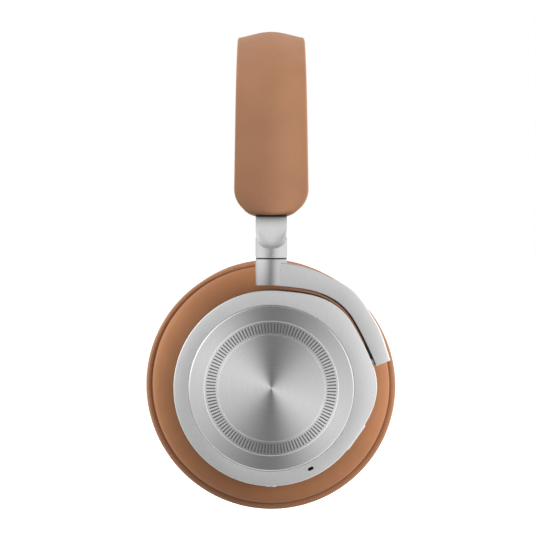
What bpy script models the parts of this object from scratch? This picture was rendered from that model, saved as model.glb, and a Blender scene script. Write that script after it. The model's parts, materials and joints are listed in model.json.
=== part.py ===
"""Over ear wireless headphones, as an assembly of separate parts.

The wearer faces -X, so the left cup is on the -Y side and both yokes pass behind the ear, on +X.
The origin is the middle of the headband cushion's underside, where the head meets it, with +Z up.

Each side is modelled once, in a side frame of (x, out, z), where out is the distance from the
middle plane. A side's sign turns out into Y, so the right side is the left one mirrored. Inside a
cup, lip is the depth measured outwards from the swivel axis, and the angle runs from +X to +Z.
"""

import math

import bmesh
import bpy
from mathutils import Vector

MM = 0.001
SIDES = {"left": -1, "right": 1}

# Driving dimensions
BAND_THICKNESS = 13.0 * MM  # leather to head side at the crown
CROWN_TO_CUP = 144.2 * MM  # top of the headband to the cup's centre
AXIS_OUT = 64.5 * MM  # swivel axis to the middle plane
PAD_RADIUS = 50.0 * MM
PAD_FACE_LIP = -41.0 * MM
CUP_RADIUS = 38.35 * MM
DISC_RADIUS = 32.5 * MM
HUB_RADIUS = 6.2 * MM
GAP = 0.3 * MM  # between parts that touch

CUP_Z = BAND_THICKNESS - CROWN_TO_CUP

# The headband's outer line, seen from the front: a short flat at the crown, then three arcs on each
# side, as (radius, tangent angle at its end)
BAND_FLAT = 4 * MM
BAND_ARCS = ((89 * MM, 31.0), (42 * MM, 78.0), (133 * MM, 94.0))
BAND_HALF_CROWN = 13.7 * MM
BAND_HALF_END = 14.8 * MM
BAND_RISE = 2.3 * MM  # how far the middle of the leather stands above its edges
END_CORNER = (8.9 * MM, 10.2 * MM)  # across and along the band
COVER_WALL = 2.4 * MM
CAVITY_DEPTH = 6.3 * MM
POCKET_INNER_OUT = 60.6 * MM
END_THICKNESS = 13.6 * MM

# The slider: a flat strap that runs in a rail in each end of the headband
STRAP_HALF_THICKNESS = 0.8 * MM
STRAP_INSIDE = 31.0 * MM
RAIL_BOTTOM, RAIL_TOP = 5.0 * MM, 36.0 * MM  # above the headband's end
RAIL_HALF = (7.7 * MM, 1.7 * MM)
SLOT_HALF = (6.5 * MM, 1.1 * MM)
RIVET_HEIGHT = 32.0 * MM
RIVET_HEAD, RIVET_HOLE, RIVET_RADIUS = 1.8 * MM, 1.2 * MM, 0.9 * MM
SPRING_DEPTH, SPRING_OUT = 3.4 * MM, 62.3 * MM  # at the crown, and the furthest out it runs
CABLE_DEPTH, CABLE_OUT = 4.6 * MM, 65.2 * MM

# The swivel between the slider arm and the yoke, as heights above the cup's centre
HUB_BOTTOM, HUB_TOP = 40.3 * MM, 50.4 * MM
BARREL_BOTTOM = 51.2 * MM
BARREL_FLARE = ((54.0, 6.2), (54.7, 4.8), (55.8, 3.4), (57.4, 2.2), (59.4, 1.3), (61.5, 0.8))
SWIVEL_PIN_RADIUS, SWIVEL_PIN_HEAD = 2.2 * MM, 3.3 * MM
SWIVEL_BUSH_RADIUS = 3.6 * MM

# The yoke and the tilt pivot at its end
YOKE_GAP = 1.1 * MM
YOKE_LIPS = (-1.5 * MM, 5.6 * MM)
YOKE_ANGLES = (88.0, 12.0)
TILT_ANGLE = 15.7
TILT_LIP = 0.6 * MM
TILT_PIN_RADIUS, TILT_PIN_HEAD = 1.2 * MM, 2.0 * MM
TILT_BUSH_RADIUS = 2.2 * MM

# The cup, as lip depths
FACE_LIP = 6.0 * MM
HOUSING_RIM_LIP = -3.5 * MM
HOUSING_WALL = 1.4 * MM
BUTTON_ANGLE, BUTTON_HALF = -30.5, 5.9 * MM
BUTTON_LIPS = (-1.2 * MM, 2.4 * MM)
POWER_ANGLE, POWER_HALF, POWER_TRAVEL = -56.0, 2.4 * MM, 1.5 * MM
POWER_LIPS = (-0.8 * MM, 2.0 * MM)
MIC_ANGLE, MIC_RADIUS = -63.9, 35.5 * MM
SOCKET_ANGLE, SOCKET_LIP = -90, 0.3 * MM
JACK_RADIUS, JACK_BORE = 2.2 * MM, 1.75 * MM
PORT_HALF, PORT_LIPS = 4.5 * MM, (-1.3 * MM, 1.9 * MM)
SCREW_RADIUS, SCREW_COUNT = 31.2 * MM, 3
SCREW_HEAD, SCREW_THREAD = 1.7 * MM, 0.8 * MM

ROUND = 36  # segments of the large round parts
SMALL_ROUND = 24
TINY_ROUND = 12


def clear_scene():
    for obj in list(bpy.data.objects):
        bpy.data.objects.remove(obj, do_unlink=True)


def material(name, colour, roughness, metallic=0.0):
    made = bpy.data.materials.new(name)
    made.use_nodes = True
    shader = made.node_tree.nodes["Principled BSDF"]
    shader.inputs["Base Color"].default_value = (*colour, 1.0)
    shader.inputs["Roughness"].default_value = roughness
    shader.inputs["Metallic"].default_value = metallic
    return made


def make_materials():
    return {
        "leather": material("leather", (0.45, 0.22, 0.13), 0.6),
        "pad_leather": material("pad_leather", (0.42, 0.19, 0.10), 0.6),
        "aluminium": material("aluminium", (0.72, 0.72, 0.72), 0.42, 1.0),
        "spun_aluminium": material("spun_aluminium", (0.75, 0.75, 0.75), 0.28, 1.0),
        "steel": material("steel", (0.55, 0.55, 0.56), 0.3, 1.0),
        "black_plastic": material("black_plastic", (0.015, 0.015, 0.016), 0.5),
        "black_mesh": material("black_mesh", (0.03, 0.03, 0.03), 0.8),
        "circuit": material("circuit", (0.02, 0.09, 0.05), 0.5),
        "magnet": material("magnet", (0.2, 0.2, 0.21), 0.35, 1.0),
        "film": material("film", (0.25, 0.25, 0.26), 0.4),
        "battery": material("battery", (0.12, 0.16, 0.28), 0.5),
    }


# ---------------------------------------------------------------- meshes


def finish(name, bm, mat, parent, sign=1):
    """Makes the mesh an object of its own, mirrored to its side, with its faces pointing out."""
    bmesh.ops.remove_doubles(bm, verts=bm.verts, dist=0.001 * MM)
    for vert in bm.verts:
        vert.co.y *= sign
    bmesh.ops.recalc_face_normals(bm, faces=bm.faces)
    if bm.calc_volume(signed=True) < 0:
        bmesh.ops.reverse_faces(bm, faces=bm.faces)
    mesh = bpy.data.meshes.new(name)
    bm.to_mesh(mesh)
    bm.free()
    mesh.shade_smooth()
    mesh.set_sharp_from_angle(angle=math.radians(35))
    obj = bpy.data.objects.new(name, mesh)
    bpy.context.scene.collection.objects.link(obj)
    if mat is not None:
        mesh.materials.append(mat)
    if parent is not None:
        obj.parent = parent
        obj.matrix_parent_inverse = parent.matrix_world.inverted()
    return obj


def cut(obj, bm, sign, operation="DIFFERENCE"):
    """Gives obj a Boolean with a hidden helper made from bm."""
    helper = finish(f"{obj.name}_{operation.lower()}_{len(obj.modifiers)}", bm, None, None, sign)
    helper.hide_render = True
    helper.display_type = "WIRE"
    modifier = obj.modifiers.new(operation.title(), "BOOLEAN")
    modifier.operation = operation
    modifier.solver = "EXACT"
    modifier.object = helper


def loft(loops, closed=False):
    """Skins a row of point loops. A closed row makes a ring, and an open one is capped."""
    bm = bmesh.new()
    rows = [[bm.verts.new(point) for point in loop] for loop in loops]
    count = len(rows[0])
    pairs = list(zip(rows, rows[1:])) + ([(rows[-1], rows[0])] if closed else [])
    for low, high in pairs:
        for i in range(count):
            j = (i + 1) % count
            bm.faces.new((low[i], low[j], high[j], high[i]))
    if not closed:
        bm.faces.new(rows[0])
        bm.faces.new(rows[-1][::-1])
    return bm


def turned(profile, closed=True, segments=ROUND):
    """Turns (radius, lip) points about the cup's axis. A radius may be a function of the angle."""
    loops = []
    for radius, lip in profile:
        loop = []
        for i in range(segments):
            angle = 2 * math.pi * i / segments
            reach = radius(math.degrees(angle)) if callable(radius) else radius
            loop.append(cup_point(reach * math.cos(angle), reach * math.sin(angle), lip))
        loops.append(loop)
    return loft(loops, closed)


def in_millimetres(profile):
    return [(radius * MM, lip * MM) for radius, lip in profile]


def cup_point(x, up, lip):
    """A point in the side frame from the cup's own x, height above its centre and lip depth."""
    return Vector((x, AXIS_OUT + lip, CUP_Z + up))


def disc(radius, lip_low, lip_high, segments=SMALL_ROUND):
    return turned([(radius, lip_low), (radius, lip_high)], closed=False, segments=segments)


def rod(start, end, radii, segments=TINY_ROUND):
    """A round bar from start to end. radii is a list of (share of the length, radius)."""
    along = (end - start).normalized()
    side = along.orthogonal().normalized()
    up = along.cross(side)
    loops = []
    for share, radius in radii:
        middle = start.lerp(end, share)
        turns = [2 * math.pi * i / segments for i in range(segments)]
        loops.append([middle + radius * (math.cos(t) * side + math.sin(t) * up) for t in turns])
    return loft(loops)


def plain_rod(start, end, radius, segments=TINY_ROUND):
    return rod(start, end, [(0, radius), (1, radius)], segments)


def tube(start, end, outer, inner, segments=TINY_ROUND):
    """A round bush with a hole right through."""
    along = (end - start).normalized()
    side = along.orthogonal().normalized()
    up = along.cross(side)
    loops = []
    for middle, radius in ((start, inner), (start, outer), (end, outer), (end, inner)):
        turns = [2 * math.pi * i / segments for i in range(segments)]
        loops.append([middle + radius * (math.cos(t) * side + math.sin(t) * up) for t in turns])
    return loft(loops, closed=True)


def block(x, out, z):
    """A box from (low, high) pairs along each axis of the side frame."""
    loops = []
    for height in z:
        corners = ((x[0], out[0]), (x[1], out[0]), (x[1], out[1]), (x[0], out[1]))
        loops.append([Vector((cx, cy, height)) for cx, cy in corners])
    return loft(loops)


def radial_point(angle, reach, across, lip):
    """A point at a distance from the cup's axis along an angle, and across it."""
    turn = math.radians(angle)
    x = reach * math.cos(turn) - across * math.sin(turn)
    up = reach * math.sin(turn) + across * math.cos(turn)
    return cup_point(x, up, lip)


def radial_block(angle, reach, half_across, lips):
    """A box that stands out from the cup's axis at an angle, between two distances from it."""
    loops = []
    for distance in reach:
        corners = (
            (-half_across, lips[0]),
            (half_across, lips[0]),
            (half_across, lips[1]),
            (-half_across, lips[1]),
        )
        loops.append([radial_point(angle, distance, across, lip) for across, lip in corners])
    return loft(loops)


def pill(angle, reach, half_length, radius, lips, segments=6):
    """A slot shape with round ends, along the tangent at an angle, between two lip depths."""
    loops = []
    for lip in lips:
        loop = []
        for end, start in ((half_length - radius, -90), (radius - half_length, 90)):
            for i in range(segments + 1):
                turn = math.radians(start + 180 * i / segments)
                across = end + radius * math.cos(turn)
                loop.append(radial_point(angle, reach + radius * math.sin(turn), across, lip))
        loops.append(loop)
    return loft(loops)


# ---------------------------------------------------------------- outlines


def swell(angle, middle, width):
    """A smooth bump of height 1 at an angle, down to 0 at width degrees on both sides."""
    away = (angle - middle + 180) % 360 - 180
    return math.cos(math.radians(90 * away / width)) ** 2 if abs(away) < width else 0.0


def housing_radius(angle):
    """The cup's outline: a circle with a lobe that reaches out to the tilt pivot."""
    return CUP_RADIUS + 2.5 * MM * swell(angle, 50, 36) + 3.15 * MM * swell(angle, 2, 38)


def inset_outline(inset):
    return lambda angle: housing_radius(angle) - inset


def yoke_outer_radius(angle):
    corner = 1.1 * MM * swell(angle, 49, 16)
    waist = 0.8 * MM * swell(angle, 25, 14)
    return 48.6 * MM + corner - waist


def yoke_band(angles, inner_gap, outer_inset, lips, steps):
    """The curved part of the yoke between two lip depths, as a bar along an arc of angles."""
    loops = []
    for i in range(steps + 1):
        angle = angles[0] + (angles[1] - angles[0]) * i / steps
        inner = housing_radius(angle) + inner_gap
        outer = yoke_outer_radius(angle) - outer_inset
        corners = ((inner, lips[0]), (outer, lips[0]), (outer, lips[1]), (inner, lips[1]))
        loops.append([radial_point(angle, reach, 0, lip) for reach, lip in corners])
    return loft(loops)


# ---------------------------------------------------------------- headband


def band_length():
    length, angle = BAND_FLAT, 0.0
    for radius, end in BAND_ARCS:
        length += radius * math.radians(end - angle)
        angle = end
    return length


def band_line(s):
    """The point (out, z) of the headband's outer line at a length s from the crown, and its normal."""
    out, z, angle, left = min(abs(s), BAND_FLAT), BAND_THICKNESS, 0.0, max(0.0, abs(s) - BAND_FLAT)
    for radius, end in BAND_ARCS:
        turn = min(left / radius, math.radians(end) - angle)
        out += radius * (math.sin(angle + turn) - math.sin(angle))
        z += radius * (math.cos(angle + turn) - math.cos(angle))
        angle += turn
        left -= turn * radius
    side = -1 if s < 0 else 1
    return Vector((side * out, z)), Vector((side * math.sin(angle), math.cos(angle)))


BAND_LENGTH = band_length()
BAND_END_Z = band_line(BAND_LENGTH)[0].y


def band_half_width(s):
    """Half the headband's width, with an elliptical corner at each end."""
    along = abs(s) / BAND_LENGTH
    half = BAND_HALF_CROWN + (BAND_HALF_END - BAND_HALF_CROWN) * along**2
    from_end = BAND_LENGTH - abs(s)
    across, corner = END_CORNER
    if from_end < corner:
        half -= across * (1 - math.sqrt(1 - (1 - from_end / corner) ** 2))
    return half


def pocket_depth(s):
    """How deep the cavity under the leather reaches: it opens out where the rail lies."""
    return max(CAVITY_DEPTH, abs(band_line(s)[0].x) - POCKET_INNER_OUT)


def band_stations(inset=0.0, spacing=9.0 * MM):
    """Lengths from one end of the headband to the other, closer together at its round ends."""
    reach = BAND_LENGTH - inset
    plain = reach - END_CORNER[1]
    steps = round((plain - BAND_FLAT) / spacing)
    half = [BAND_FLAT + (plain - BAND_FLAT) * i / steps for i in range(steps + 1)]
    if inset == 0.0:
        half += [reach - END_CORNER[1] * share for share in (0.64, 0.36, 0.16, 0.05, 0.0)]
    else:
        half.append(reach)
    return [-s for s in reversed(half)] + half


def sweep_band(section, stations):
    """Sweeps a section along the headband. section(s) gives (x, depth below the outer line)."""
    loops = []
    for s in stations:
        point, normal = band_line(s)
        loop = []
        for x, depth in section(s):
            inner = point - depth * normal
            loop.append(Vector((x, inner.x, inner.y)))
        loops.append(loop)
    return loft(loops)


def cover_section(s):
    half = band_half_width(s)
    rise = BAND_RISE
    outer = [(-1.0, 1.0), (-0.93, 0.85), (-0.66, 0.5), (-0.36, 0.15), (0.0, 0.0)]
    outer += [(-x, depth) for x, depth in reversed(outer[:-1])]
    points = [(x * half, depth * rise) for x, depth in outer]
    from_end = BAND_LENGTH - abs(s)
    lip = pocket_depth(s) - GAP if from_end > END_CORNER[1] * 0.5 else COVER_WALL + GAP
    inside = half - 1.5 * MM
    points += [(half, lip), (inside, lip), (inside, COVER_WALL)]
    points += [(-inside, COVER_WALL), (-inside, lip), (-half, lip)]
    return points


def cushion_section(s):
    share = min(1.0, abs(s) / BAND_LENGTH)
    half = band_half_width(s) + 0.3 * MM * (1 - share)
    top = pocket_depth(s)
    bottom = BAND_THICKNESS + (END_THICKNESS - BAND_THICKNESS) * share
    deep = bottom - top
    right = [(half - 1.0 * MM, top), (half, top + 0.25 * deep), (half - 0.3 * MM, top + 0.5 * deep)]
    right += [(half - 1.6 * MM, top + 0.8 * deep), (half * 0.58, bottom)]
    return right + [(-x, depth) for x, depth in reversed(right)]


def strip_section(half, top, bottom, middle=0.0):
    return [(middle - half, top), (middle + half, top), (middle + half, bottom), (middle - half, bottom)]


def spring_section(s):
    top = max(SPRING_DEPTH, abs(band_line(s)[0].x) - SPRING_OUT)
    return strip_section(5.5 * MM, top, top + 0.8 * MM)


def cable_section(s):
    top = max(CABLE_DEPTH, abs(band_line(s)[0].x) - CABLE_OUT)
    return strip_section(0.8 * MM, top, top + 1.4 * MM, middle=9.8 * MM)


def build_headband(mats):
    stations = band_stations()
    finish("headband_cover", sweep_band(cover_section, stations), mats["leather"], None)
    finish("headband_cushion", sweep_band(cushion_section, stations), mats["leather"], None)
    spring = sweep_band(spring_section, band_stations(inset=25.5 * MM, spacing=11 * MM))
    spring = finish("headband_spring", spring, mats["steel"], None)
    for sign in SIDES.values():
        cut(spring, plain_rod(*rivet_line(), RIVET_HOLE), sign)
    cable = sweep_band(cable_section, band_stations(inset=6 * MM, spacing=10 * MM))
    finish("crossover_cable", cable, mats["black_plastic"], None)


def rivet_line():
    """The ends of the rivet that holds the spring to a rail, in the side frame."""
    z = BAND_END_Z + RIVET_HEIGHT
    return Vector((0, 60.9 * MM, z)), Vector((0, AXIS_OUT - 1.2 * MM, z))


def build_slider_pocket(side, sign, mats):
    """The rail, the rivet that holds it to the spring, and the end cap, all in the headband's end."""
    low, high = BAND_END_Z + RAIL_BOTTOM, BAND_END_Z + RAIL_TOP
    half_x, half_out = RAIL_HALF
    slot_x, slot_out = SLOT_HALF
    out = (AXIS_OUT - half_out, AXIS_OUT + half_out)
    slot = ((-slot_x, slot_x), (AXIS_OUT - slot_out, AXIS_OUT + slot_out))
    rail = finish(
        f"slider_rail_{side}", block((-half_x, half_x), out, (low, high)), mats["steel"], None, sign
    )
    cut(rail, block(*slot, (low - MM, high + MM)), sign)
    start, end = rivet_line()
    cut(rail, plain_rod(start, end, RIVET_HOLE), sign)
    head = 0.35 * MM / (end - start).length
    end = end - Vector((0, GAP, 0))
    radii = [(0, RIVET_HEAD), (head, RIVET_HEAD), (head, RIVET_RADIUS), (1, RIVET_RADIUS)]
    finish(f"rail_rivet_{side}", rod(start, end, radii), mats["steel"], None, sign)

    cap_z = (BAND_END_Z + 1.5 * MM, low - GAP)
    cap_out = (AXIS_OUT - 3.3 * MM, AXIS_OUT + 3.9 * MM)
    cap = block((-8.4 * MM, 8.4 * MM), cap_out, cap_z)
    cap = finish(f"end_cap_{side}", cap, mats["black_plastic"], None, sign)
    cut(cap, block(*slot, (cap_z[0] - MM, cap_z[1] + MM)), sign)


# ---------------------------------------------------------------- arm and yoke


def flattened_circle(up, half_out, segments=28):
    """A circle of the hub's radius at a height, flattened to half_out on both faces."""
    loop = []
    for i in range(segments):
        angle = 2 * math.pi * i / segments
        across = HUB_RADIUS * math.cos(angle)
        out = max(-half_out, min(half_out, HUB_RADIUS * math.sin(angle)))
        loop.append(cup_point(across, up, out))
    return loop


def build_arm(side, sign, mats, parent):
    strap_top = BAND_END_Z + STRAP_INSIDE - CUP_Z
    levels = [(BARREL_BOTTOM, HUB_RADIUS)]
    levels += [(up * MM, half * MM) for up, half in BARREL_FLARE]
    levels += [(strap_top, STRAP_HALF_THICKNESS)]
    loops = [flattened_circle(up, half) for up, half in levels]
    arm = finish(f"slider_arm_{side}", loft(loops), mats["aluminium"], parent, sign)
    top = cup_point(0, 54.8 * MM, 0)
    bore = plain_rod(cup_point(0, BARREL_BOTTOM - MM, 0), top, SWIVEL_PIN_RADIUS + GAP)
    cut(arm, bore, sign)

    start, end = cup_point(0, HUB_BOTTOM + 0.7 * MM, 0), cup_point(0, 54.5 * MM, 0)
    head = 1.2 * MM / (end - start).length
    radii = [(0, SWIVEL_PIN_HEAD), (head, SWIVEL_PIN_HEAD)]
    radii += [(head, SWIVEL_PIN_RADIUS), (1, SWIVEL_PIN_RADIUS)]
    finish(f"swivel_pin_{side}", rod(start, end, radii), mats["steel"], parent, sign)
    low, high = cup_point(0, HUB_TOP + 0.2 * MM, 0), cup_point(0, BARREL_BOTTOM - 0.2 * MM, 0)
    washer = tube(low, high, HUB_RADIUS - 0.35 * MM, 2.6 * MM, SMALL_ROUND)
    finish(f"swivel_washer_{side}", washer, mats["black_plastic"], parent, sign)


def build_yoke(side, sign, mats, parent):
    hub = plain_rod(cup_point(0, HUB_BOTTOM, 0), cup_point(0, HUB_TOP, 0), HUB_RADIUS, SMALL_ROUND)
    yoke = finish(f"yoke_{side}", hub, mats["aluminium"], parent, sign)
    cut(yoke, yoke_band(YOKE_ANGLES, YOKE_GAP, 0, YOKE_LIPS, 22), sign, "UNION")
    low, high = cup_point(0, HUB_BOTTOM - MM, 0), cup_point(0, HUB_TOP + MM, 0)
    cut(yoke, plain_rod(low, high, SWIVEL_BUSH_RADIUS + GAP), sign)
    inner = radial_point(TILT_ANGLE, 38 * MM, 0, TILT_LIP)
    outer = radial_point(TILT_ANGLE, 46.2 * MM, 0, TILT_LIP)
    cut(yoke, plain_rod(inner, outer, TILT_PIN_RADIUS + GAP), sign)

    low, high = cup_point(0, HUB_BOTTOM + 2.3 * MM, 0), cup_point(0, HUB_TOP - 0.1 * MM, 0)
    bush = tube(low, high, SWIVEL_BUSH_RADIUS, SWIVEL_PIN_RADIUS + GAP)
    finish(f"swivel_bush_{side}", bush, mats["black_plastic"], parent, sign)

    start = radial_point(TILT_ANGLE, 33.2 * MM, 0, TILT_LIP)
    end = radial_point(TILT_ANGLE, 45.8 * MM, 0, TILT_LIP)
    head = 0.9 * MM / (end - start).length
    radii = [(0, TILT_PIN_HEAD), (head, TILT_PIN_HEAD), (head, TILT_PIN_RADIUS), (1, TILT_PIN_RADIUS)]
    finish(f"tilt_pin_{side}", rod(start, end, radii), mats["steel"], parent, sign)


# ---------------------------------------------------------------- cup


def build_housing(side, sign, mats, parent):
    wall = inset_outline(HOUSING_WALL)
    recess, ledge = DISC_RADIUS + 0.35 * MM, 29.0 * MM
    profile = [
        (inset_outline(0.5 * MM), HOUSING_RIM_LIP),
        (inset_outline(0), FACE_LIP - 2.5 * MM),
        (inset_outline(0), FACE_LIP - 0.7 * MM),
        (inset_outline(0.7 * MM), FACE_LIP),
        (recess, FACE_LIP),
        (recess, FACE_LIP - 1.5 * MM),
        (ledge, FACE_LIP - 1.5 * MM),
        (ledge, FACE_LIP - 2.4 * MM),
        (wall, FACE_LIP - 2.4 * MM),
        (wall, HOUSING_RIM_LIP),
    ]
    housing = turned(profile, segments=48)
    housing = finish(f"cup_housing_{side}", housing, mats["aluminium"], parent, sign)
    inner = radial_point(TILT_ANGLE, 34 * MM, 0, TILT_LIP)
    outer = radial_point(TILT_ANGLE, 43 * MM, 0, TILT_LIP)
    cut(housing, plain_rod(inner, outer, TILT_BUSH_RADIUS + GAP), sign)
    through_wall = (35 * MM, 42 * MM)
    button_lips = (BUTTON_LIPS[0] - GAP, BUTTON_LIPS[1] + GAP)
    cut(housing, radial_block(BUTTON_ANGLE, through_wall, BUTTON_HALF + 0.4 * MM, button_lips), sign)
    slot_lips = (FACE_LIP - 4 * MM, FACE_LIP + MM)
    cut(housing, pill(MIC_ANGLE, MIC_RADIUS, 1.1 * MM, 0.55 * MM, slot_lips), sign)
    if side == "left":
        inner = radial_point(SOCKET_ANGLE, 35 * MM, 0, SOCKET_LIP)
        outer = radial_point(SOCKET_ANGLE, 40 * MM, 0, SOCKET_LIP)
        cut(housing, plain_rod(inner, outer, JACK_RADIUS + 0.4 * MM), sign)
    else:
        port_lips = (PORT_LIPS[0] - GAP, PORT_LIPS[1] + GAP)
        cut(housing, radial_block(SOCKET_ANGLE, (35 * MM, 40 * MM), PORT_HALF + GAP, port_lips), sign)
        power_lips = (POWER_LIPS[0] - GAP, POWER_LIPS[1] + GAP)
        power_half = POWER_HALF + POWER_TRAVEL + 0.4 * MM
        cut(housing, radial_block(POWER_ANGLE, (35 * MM, 40 * MM), power_half, power_lips), sign)
    mesh = pill(MIC_ANGLE, MIC_RADIUS - 0.6 * MM, 2.0 * MM, 1.0 * MM, (2.6 * MM, 3.3 * MM))
    finish(f"mic_mesh_{side}", mesh, mats["black_mesh"], parent, sign)


def build_disc(side, sign, mats, parent):
    """The spun disc. Two shallow grooves frame the ring of tick marks."""
    face = FACE_LIP + 0.5 * MM
    profile = [
        (0.0, face - 0.1 * MM),
        (20.7 * MM, face),
        (21.0 * MM, face - 0.12 * MM),
        (26.0 * MM, face - 0.12 * MM),
        (26.3 * MM, face),
        (DISC_RADIUS - 0.5 * MM, face),
        (DISC_RADIUS, face - 0.5 * MM),
        (DISC_RADIUS, FACE_LIP - 1.2 * MM),
        (0.0, FACE_LIP - 1.2 * MM),
    ]
    mesh = turned(profile, closed=False)
    finish(f"touch_disc_{side}", mesh, mats["spun_aluminium"], parent, sign)


def flange_radius(angle):
    """The shell's flange follows the housing, and shows beside it towards the tilt pivot."""
    return housing_radius(angle) + (0.25 * swell(angle, 38, 45) - 0.1) * MM


def build_shell_and_baffle(side, sign, mats, parent):
    shell = in_millimetres([(36.6, -2.4), (36.6, -3.8)])
    shell += [(flange_radius, -3.8 * MM), (flange_radius, -6.0 * MM)]
    back = [
        (36.6, -8.0),
        (36.6, -9.0),
        (34.6, -10.2),
        (34.6, -19.0),
        (29.0, -19.0),
        (29.0, -17.6),
        (33.4, -17.6),
        (33.4, -9.6),
        (35.2, -8.4),
        (35.2, -2.4),
    ]
    shell = turned(shell + in_millimetres(back))
    shell = finish(f"inner_shell_{side}", shell, mats["black_plastic"], parent, sign)
    baffle = [(17.0, -19.4), (34.4, -19.4), (34.4, -20.8), (17.0, -20.8)]
    baffle = turned(in_millimetres(baffle), segments=32)
    baffle = finish(f"baffle_{side}", baffle, mats["black_plastic"], parent, sign)
    for i in range(SCREW_COUNT):
        angle = 60 + 360 / SCREW_COUNT * i
        start = radial_point(angle, SCREW_RADIUS, 0, -21.7 * MM)
        end = radial_point(angle, SCREW_RADIUS, 0, -17.0 * MM)
        for part in (shell, baffle):
            cut(part, plain_rod(start, end, SCREW_THREAD + GAP, 10), sign)
        radii = [(0, SCREW_HEAD), (0.13, SCREW_HEAD), (0.13, SCREW_THREAD), (1, SCREW_THREAD)]
        screw = rod(start, end, radii, 10)
        finish(f"baffle_screw_{side}_{i + 1}", screw, mats["steel"], parent, sign)


def build_driver(side, sign, mats, parent):
    basket = [
        (20.0, -19.1),
        (20.0, -17.8),
        (17.0, -17.2),
        (15.0, -12.6),
        (8.0, -12.6),
        (8.0, -13.8),
        (14.0, -13.8),
        (16.2, -17.9),
        (16.2, -19.1),
    ]
    basket = turned(in_millimetres(basket), segments=SMALL_ROUND)
    finish(f"driver_basket_{side}", basket, mats["black_plastic"], parent, sign)
    cone = in_millimetres([(15.8, -18.9), (12.5, -17.2), (7.0, -18.3), (0.0, -16.9)])
    back = [(r, lip + 0.4 * MM) for r, lip in reversed(cone)]
    diaphragm = turned(cone[::-1] + back[::-1], closed=False, segments=SMALL_ROUND)
    finish(f"driver_diaphragm_{side}", diaphragm, mats["film"], parent, sign)
    magnet = [(0.0, -12.2), (10.5, -12.2), (10.5, -9.4), (9.8, -8.8), (0.0, -8.8)]
    magnet = turned(in_millimetres(magnet), closed=False, segments=SMALL_ROUND)
    finish(f"driver_magnet_{side}", magnet, mats["magnet"], parent, sign)


def build_electronics(side, sign, mats, parent):
    board_radius, flat = 31.0 * MM, 27.3 * MM  # the board is cut off straight above the socket
    loops = []
    for lip in (0.6 * MM, 1.6 * MM):
        loop = []
        for i in range(40):
            angle = 2 * math.pi * i / 40
            up = max(-flat, board_radius * math.sin(angle))
            loop.append(cup_point(board_radius * math.cos(angle), up, lip))
        loops.append(loop)
    finish(f"circuit_board_{side}", loft(loops), mats["circuit"], parent, sign)
    if side == "right":
        width, height, thickness = 34 * MM, 24 * MM, 6 * MM
        across = (-width / 2, width / 2)
        upright = (CUP_Z - height / 2, CUP_Z + height / 2)
        cell = block(across, (AXIS_OUT - thickness, AXIS_OUT), upright)
        battery = finish("battery_right", cell, mats["battery"], parent, sign)
        bevel = battery.modifiers.new("Bevel", "BEVEL")
        bevel.width = 1.5 * MM
        bevel.segments = 2


def build_cushion(side, sign, mats, parent):
    """The ear pad with its leather neck, the ring that carries it and the cloth over the driver."""
    ring = [(27.0, -23.2), (36.4, -23.2), (36.4, -22.0), (27.0, -22.0)]
    ring = turned(in_millimetres(ring), segments=32)
    finish(f"cushion_ring_{side}", ring, mats["black_plastic"], parent, sign)
    face = PAD_FACE_LIP
    pad = [
        (35.0 * MM, -12.6 * MM),
        (35.0 * MM, -21.6 * MM),
        (37.0 * MM, -21.8 * MM),
        (37.0 * MM, -23.5 * MM),
        (25.6 * MM, -23.5 * MM),
        (24.6 * MM, -30.0 * MM),
        (26.6 * MM, face + 2.6 * MM),
        (32.5 * MM, face),
        (40.5 * MM, face),
        (46.4 * MM, face + 3.2 * MM),
        (49.4 * MM, face + 8.4 * MM),
        (PAD_RADIUS, face + 13.5 * MM),
        (48.0 * MM, -22.0 * MM),
        (43.4 * MM, -17.4 * MM),
        (39.6 * MM, -14.3 * MM),
        (37.6 * MM, -12.2 * MM),
    ]
    finish(f"ear_cushion_{side}", turned(pad), mats["pad_leather"], parent, sign)
    cloth = disc(26.6 * MM, -22.8 * MM, -22.2 * MM)
    finish(f"ear_mesh_{side}", cloth, mats["black_mesh"], parent, sign)


def build_tilt_bush(side, sign, mats, parent):
    """The flanged bush in the housing's wall that the tilt pin turns in."""
    bore, bush, flange = TILT_PIN_RADIUS + GAP, TILT_BUSH_RADIUS, TILT_BUSH_RADIUS + 0.4 * MM
    reach = [(34.6, bore), (34.6, flange), (35.6, flange), (35.6, bush), (40.8, bush), (40.8, bore)]
    along = (radial_point(TILT_ANGLE, 1, 0, 0) - radial_point(TILT_ANGLE, 0, 0, 0)).normalized()
    across = Vector((0, 1, 0))
    third = along.cross(across)
    loops = []
    for distance, radius in reach:
        middle = radial_point(TILT_ANGLE, distance * MM, 0, TILT_LIP)
        turns = [2 * math.pi * i / TINY_ROUND for i in range(TINY_ROUND)]
        ring = [math.cos(t) * across + math.sin(t) * third for t in turns]
        loops.append([middle + radius * spoke for spoke in ring])
    bush = loft(loops, closed=True)
    finish(f"tilt_bush_{side}", bush, mats["black_plastic"], parent, sign)


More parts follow.
